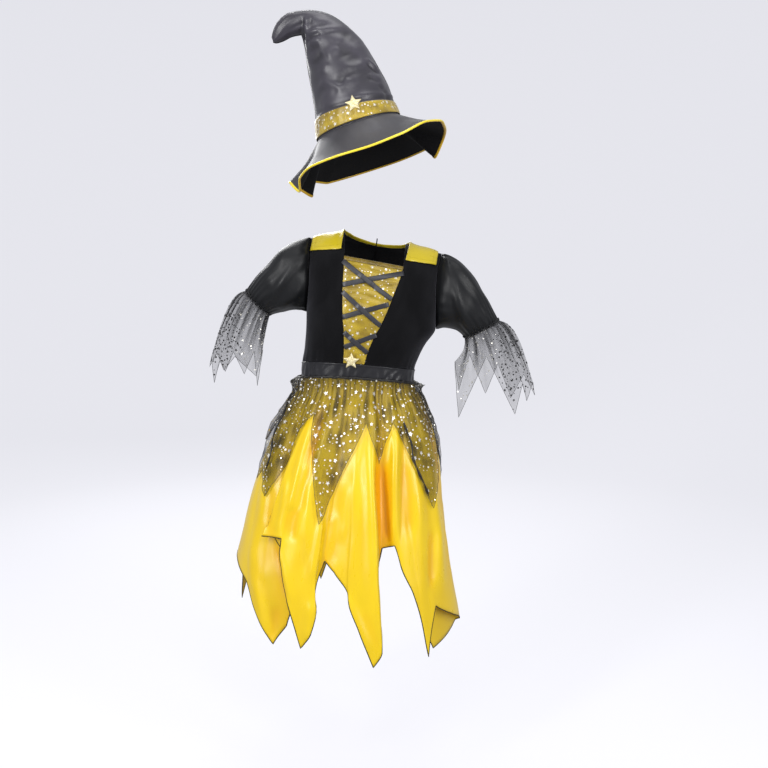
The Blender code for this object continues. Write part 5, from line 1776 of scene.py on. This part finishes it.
def build_band():
    turns = np.arange(0, 360, 1.0)
    grid = cone_surface(turns, np.linspace(0.004, HAT_BAND_TOP, 22))
    normals = outward_of(grid, True, 1)
    rows = np.linspace(0, 1, 22)[None]
    rim = np.exp(-rows / 0.05) + np.exp(-(1 - rows) / 0.05)
    angle = np.radians(turns)[:, None]
    wrinkle = np.sin(37 * angle + 3 * np.sin(4 * angle)) * np.sin(np.pi * rows)
    heights = HAT_BAND_LIFT + 0.0004 - 0.0005 * rim + 0.0004 * wrinkle
    grid, normals = settle(grid, True, normals, heights)
    piece = wall("starred_hat_band", grid, normals, CLOTH, True, (GOLD_NET, BLACK_LINING))
    dress(piece, "hat_band")
    sprinkle(
        "hat_band_stars", grid, normals, True, CLOTH - 0.0003, SILVER_FOIL, 95, 135, (2.0, 4.0), (0.7, 1.5),
        0.40, None
    )


def fine_brim_turns(count):
    knots = column(BRIM_RIM, BRIM_COLUMNS, "round")
    counts = [max(4, round((b - a) / 360 * count)) for a, b in zip(knots[:-1], knots[1:])]
    return even_between(knots, counts)[:-1]


def build_brim():
    turns = fine_brim_turns(330)
    length = np.linalg.norm(brim_rays(turns)[1], axis=1)[:, None]
    edge = BINDING_WIDTH * 0.5
    left_over = edge + (length - edge) * np.linspace(1, 0, 26)[None, :]
    grid = brim_surface(turns, left_over)
    normals = outward_of(grid, True, -1)
    shares = np.linspace(0, 1, 26)[None]
    angle = np.radians(turns)[:, None]
    flat = flat_map(grid, True)[:-1]
    heights = 0.0007 * drift(flat, 0.09, 96) * np.sin(np.pi * shares) - 0.0002
    grid, normals = settle(grid, True, normals, heights)
    piece = wall("flared_brim", grid, normals, BRIM_CLOTH - 0.0004, True, (BRIM_CLOTH_OUT, BRIM_CLOTH_IN))
    dress(piece, "hat_brim")
    grid = brim_surface(turns, np.array([[BINDING_WIDTH, BINDING_WIDTH * 0.7, BINDING_WIDTH * 0.35, 0.0]]))
    normals = outward_of(grid, True, -1)
    rounding = np.array([0.55, 1.0, 1.0, 0.5])[None, :, None]
    middle = grid - normals * BRIM_CLOTH / 2
    half = BINDING_THICKNESS / 2 * rounding
    pucker = 1 + 0.06 * np.sin(angle * 180)[:, :, None]
    upper = middle + normals * half * pucker
    lower = middle - normals * half * pucker
    ring = np.concatenate([upper, lower[:, ::-1]], axis=1)
    columns, around = ring.shape[:2]
    points = ring.reshape(-1, 3)
    faces = []
    slots = []
    for i in range(columns):
        after = (i + 1) % columns
        for k in range(around):
            m = (k + 1) % around
            faces.append((i * around + k, i * around + m, after * around + m, after * around + k))
            # The underside of the rolled binding takes the darker copy, a painted shade.
            slots.append(0 if k < 4 else 1)
    piece = mesh_piece("rolled_binding", points, faces, [BRIGHT_BINDING, SHADED_BINDING], slots)
    along = np.concatenate([[0], np.cumsum(np.linalg.norm(np.diff(grid[:, -1], axis=0), axis=1))])
    layer = piece.data.uv_layers.new(name="cloth")
    corner = []
    for i in range(columns):
        for k in range(around):
            here, nxt = along[i], along[i + 1] if i + 1 < columns else along[-1] + 0.003
            corner += [
                (here, k * 0.0012), (here, (k + 1) * 0.0012), (nxt, (k + 1) * 0.0012), (nxt, k * 0.0012
                )
            ]
    layer.data.foreach_set("uv", np.array(corner, dtype=np.float32).ravel())
    face_outward(piece)
    dress(piece, "brim_binding")


def build_hat_star():
    grid = cone_surface(np.array([-2.0, 0.0, 2.0]), np.array([0.080, 0.098, 0.116]))
    normal = surface_normals(grid, False)[1, 1]
    upward = unit(grid[1, 2] - grid[1, 0])
    build_star(
        "hat_glitter_star", "hat_star", grid[1, 1] + normal * HAT_STAR_LIFT, np.cross(upward, normal),
        upward, normal
    )


back_edges = []
for part_side in ("right", "left"):
    back_edges.append(build_bodice(part_side))
    build_collar(part_side)
cord_mesh("back_closure", (back_edges[0] + back_edges[1]) / 2, 0.0010, 6, SEAM_THREAD)
build_panel()
build_waist()
for upper_lace, lower_lace in LACE_PAIRS:
    build_lace(upper_lace, crossing_share(upper_lace, lower_lace))
    build_lace(lower_lace, None)
build_waist_star()
build_sleeve("right", SLEEVE_RIGHT, RIGHT_SLEEVE_CREASES)
build_sleeve("left", SLEEVE_LEFT, LEFT_SLEEVE_CREASES)
build_frill("right", FRILL_RIGHT, SLEEVE_RIGHT)
build_frill("left", FRILL_LEFT, SLEEVE_LEFT)
# All pieces
front_steps = [max(4, round((b[0] - a[0]) * 2.2)) for a, b in zip(HEM_FRONT, HEM_FRONT[1:])]
build_skirt("satin_skirt_front", "skirt_front", HEM_FRONT, front_steps)
back_steps = [max(5, round((b[0] - a[0]) * 1.5)) for a, b in zip(HEM_BACK, HEM_BACK[1:])]
build_skirt("satin_skirt_back", "skirt_back", HEM_BACK, back_steps)
net_front, net_front_normals = build_overskirt("net_overskirt_front", "overskirt_front", OVERSKIRT_FRONT)
net_back, net_back_normals = build_overskirt("net_overskirt_back", "overskirt_back", OVERSKIRT_BACK)
waist_edge = np.concatenate([net_front[:, 0], net_back[:, 0]])
waist_out = np.concatenate([net_front_normals[:, 0], net_back_normals[:, 0]])
cord_mesh(
    "waist_gathers", waist_edge - waist_out * 0.0022, 0.0021, 7, ROLLED_NET, closed=True
)
for roll_number, (from_x, from_z, to_x, to_z) in enumerate(ROLLED_FOLDS):
    build_rolled_fold(
        "rolled_fold_" + str(roll_number + 1), net_front, net_front_normals, from_x, from_z, to_x, to_z
    )
cone_front = build_cone("hat_front", "hat_cone_front", -90, HAT_CREASES, True)
cone_back = build_cone("hat_back", "hat_cone_back", 90, HAT_CREASES, False)
build_cone_seams(cone_front, cone_back)
build_band()
build_brim()
build_hat_star()

# Room, lights and camera
FLOOR_HEIGHT = -0.95
profile = [(0.0, 0.0), (1.2, 0.0), (2.4, 0.0)]
for step in range(1, 13):
    bend = math.radians(90 * step / 12)
    profile.append((2.4 + 1.4 * math.sin(bend), 1.4 * (1 - math.cos(bend))))
profile.append((3.8, 4.5))
around = 72
room_points = []
room_faces = []
for reach_out, height in profile[1:]:
    for k in range(around):
        turn = 2 * math.pi * k / around
        room_points.append((reach_out * math.cos(turn), reach_out * math.sin(turn), FLOOR_HEIGHT + height))
room_points.append((0.0, 0.0, FLOOR_HEIGHT))
centre_spot = len(room_points) - 1
for k in range(around):
    after = (k + 1) % around
    room_faces.append((centre_spot, k, after))
    for ring in range(len(profile) - 2):
        room_faces.append(
            (ring * around + k, (ring + 1) * around + k, (ring + 1) * around + after, ring * around + after)
        )
backdrop_mesh = bpy.data.meshes.new("studio_floor")
backdrop_mesh.from_pydata(room_points, [], room_faces)
backdrop_mesh.shade_smooth()
backdrop = bpy.data.objects.new("studio_floor", backdrop_mesh)
bpy.context.scene.collection.objects.link(backdrop)
backdrop.visible_shadow = False
backdrop.visible_diffuse = False
backdrop.visible_glossy = False
paper = bpy.data.materials.new("pale floor")
paper.use_nodes = True
paper_shader = paper.node_tree.nodes["Principled BSDF"]
paper_shader.inputs["Base Color"].default_value = (0.34, 0.34, 0.36, 1)
paper_shader.inputs["Roughness"].default_value = 0.9
paper_shader.inputs["Emission Color"].default_value = (0.95, 0.95, 1.0, 1)
paper_shader.inputs["Emission Strength"].default_value = 0.60
backdrop_mesh.materials.append(paper)

world = bpy.data.worlds.new("studio")
world.use_nodes = True
world.node_tree.nodes["Background"].inputs["Color"].default_value = (0.92, 0.93, 1.0, 1)
world.node_tree.nodes["Background"].inputs["Strength"].default_value = 0.48
bpy.context.scene.world = world

# Name, place x, y and z, width and height in metres, watts
LIGHTS = (
    ("key", -1.25, -1.45, 0.55, 0.35, 1.6, 26),
    ("fill", 1.35, -1.35, 0.30, 0.30, 1.6, 18),
    ("front", 0.25, -2.10, 1.10, 1.2, 0.8, 14),
    ("top", 0.0, 0.0, 1.75, 1.2, 1.0, 10),
    ("rear", -0.6, 1.9, 0.9, 0.9, 1.4, 24),
)
for light_name, x, y, z, width, height, watts in LIGHTS:
    lamp = bpy.data.lights.new(light_name, "AREA")
    lamp.shape = "RECTANGLE"
    lamp.size = width
    lamp.size_y = height
    lamp.energy = watts
    light = bpy.data.objects.new(light_name, lamp)
    light.location = (x, y, z)
    aim = Vector((0.0, 0.0, -0.12)) - Vector((x, y, z))
    light.rotation_euler = aim.to_track_quat("-Z", "Y").to_euler()
    bpy.context.scene.collection.objects.link(light)

CAMERA_PLACE = (0.0157, -1.508, -0.038)
CAMERA_DIP = math.radians(7.5)
lens = bpy.data.cameras.new("camera")
lens.lens = 40
lens.sensor_width = 36
camera = bpy.data.objects.new("camera", lens)
camera.location = CAMERA_PLACE
camera.rotation_euler = (math.pi / 2 - CAMERA_DIP, 0, 0)
bpy.context.scene.collection.objects.link(camera)
bpy.context.scene.camera = camera
bpy.context.scene.view_settings.view_transform = "Standard"
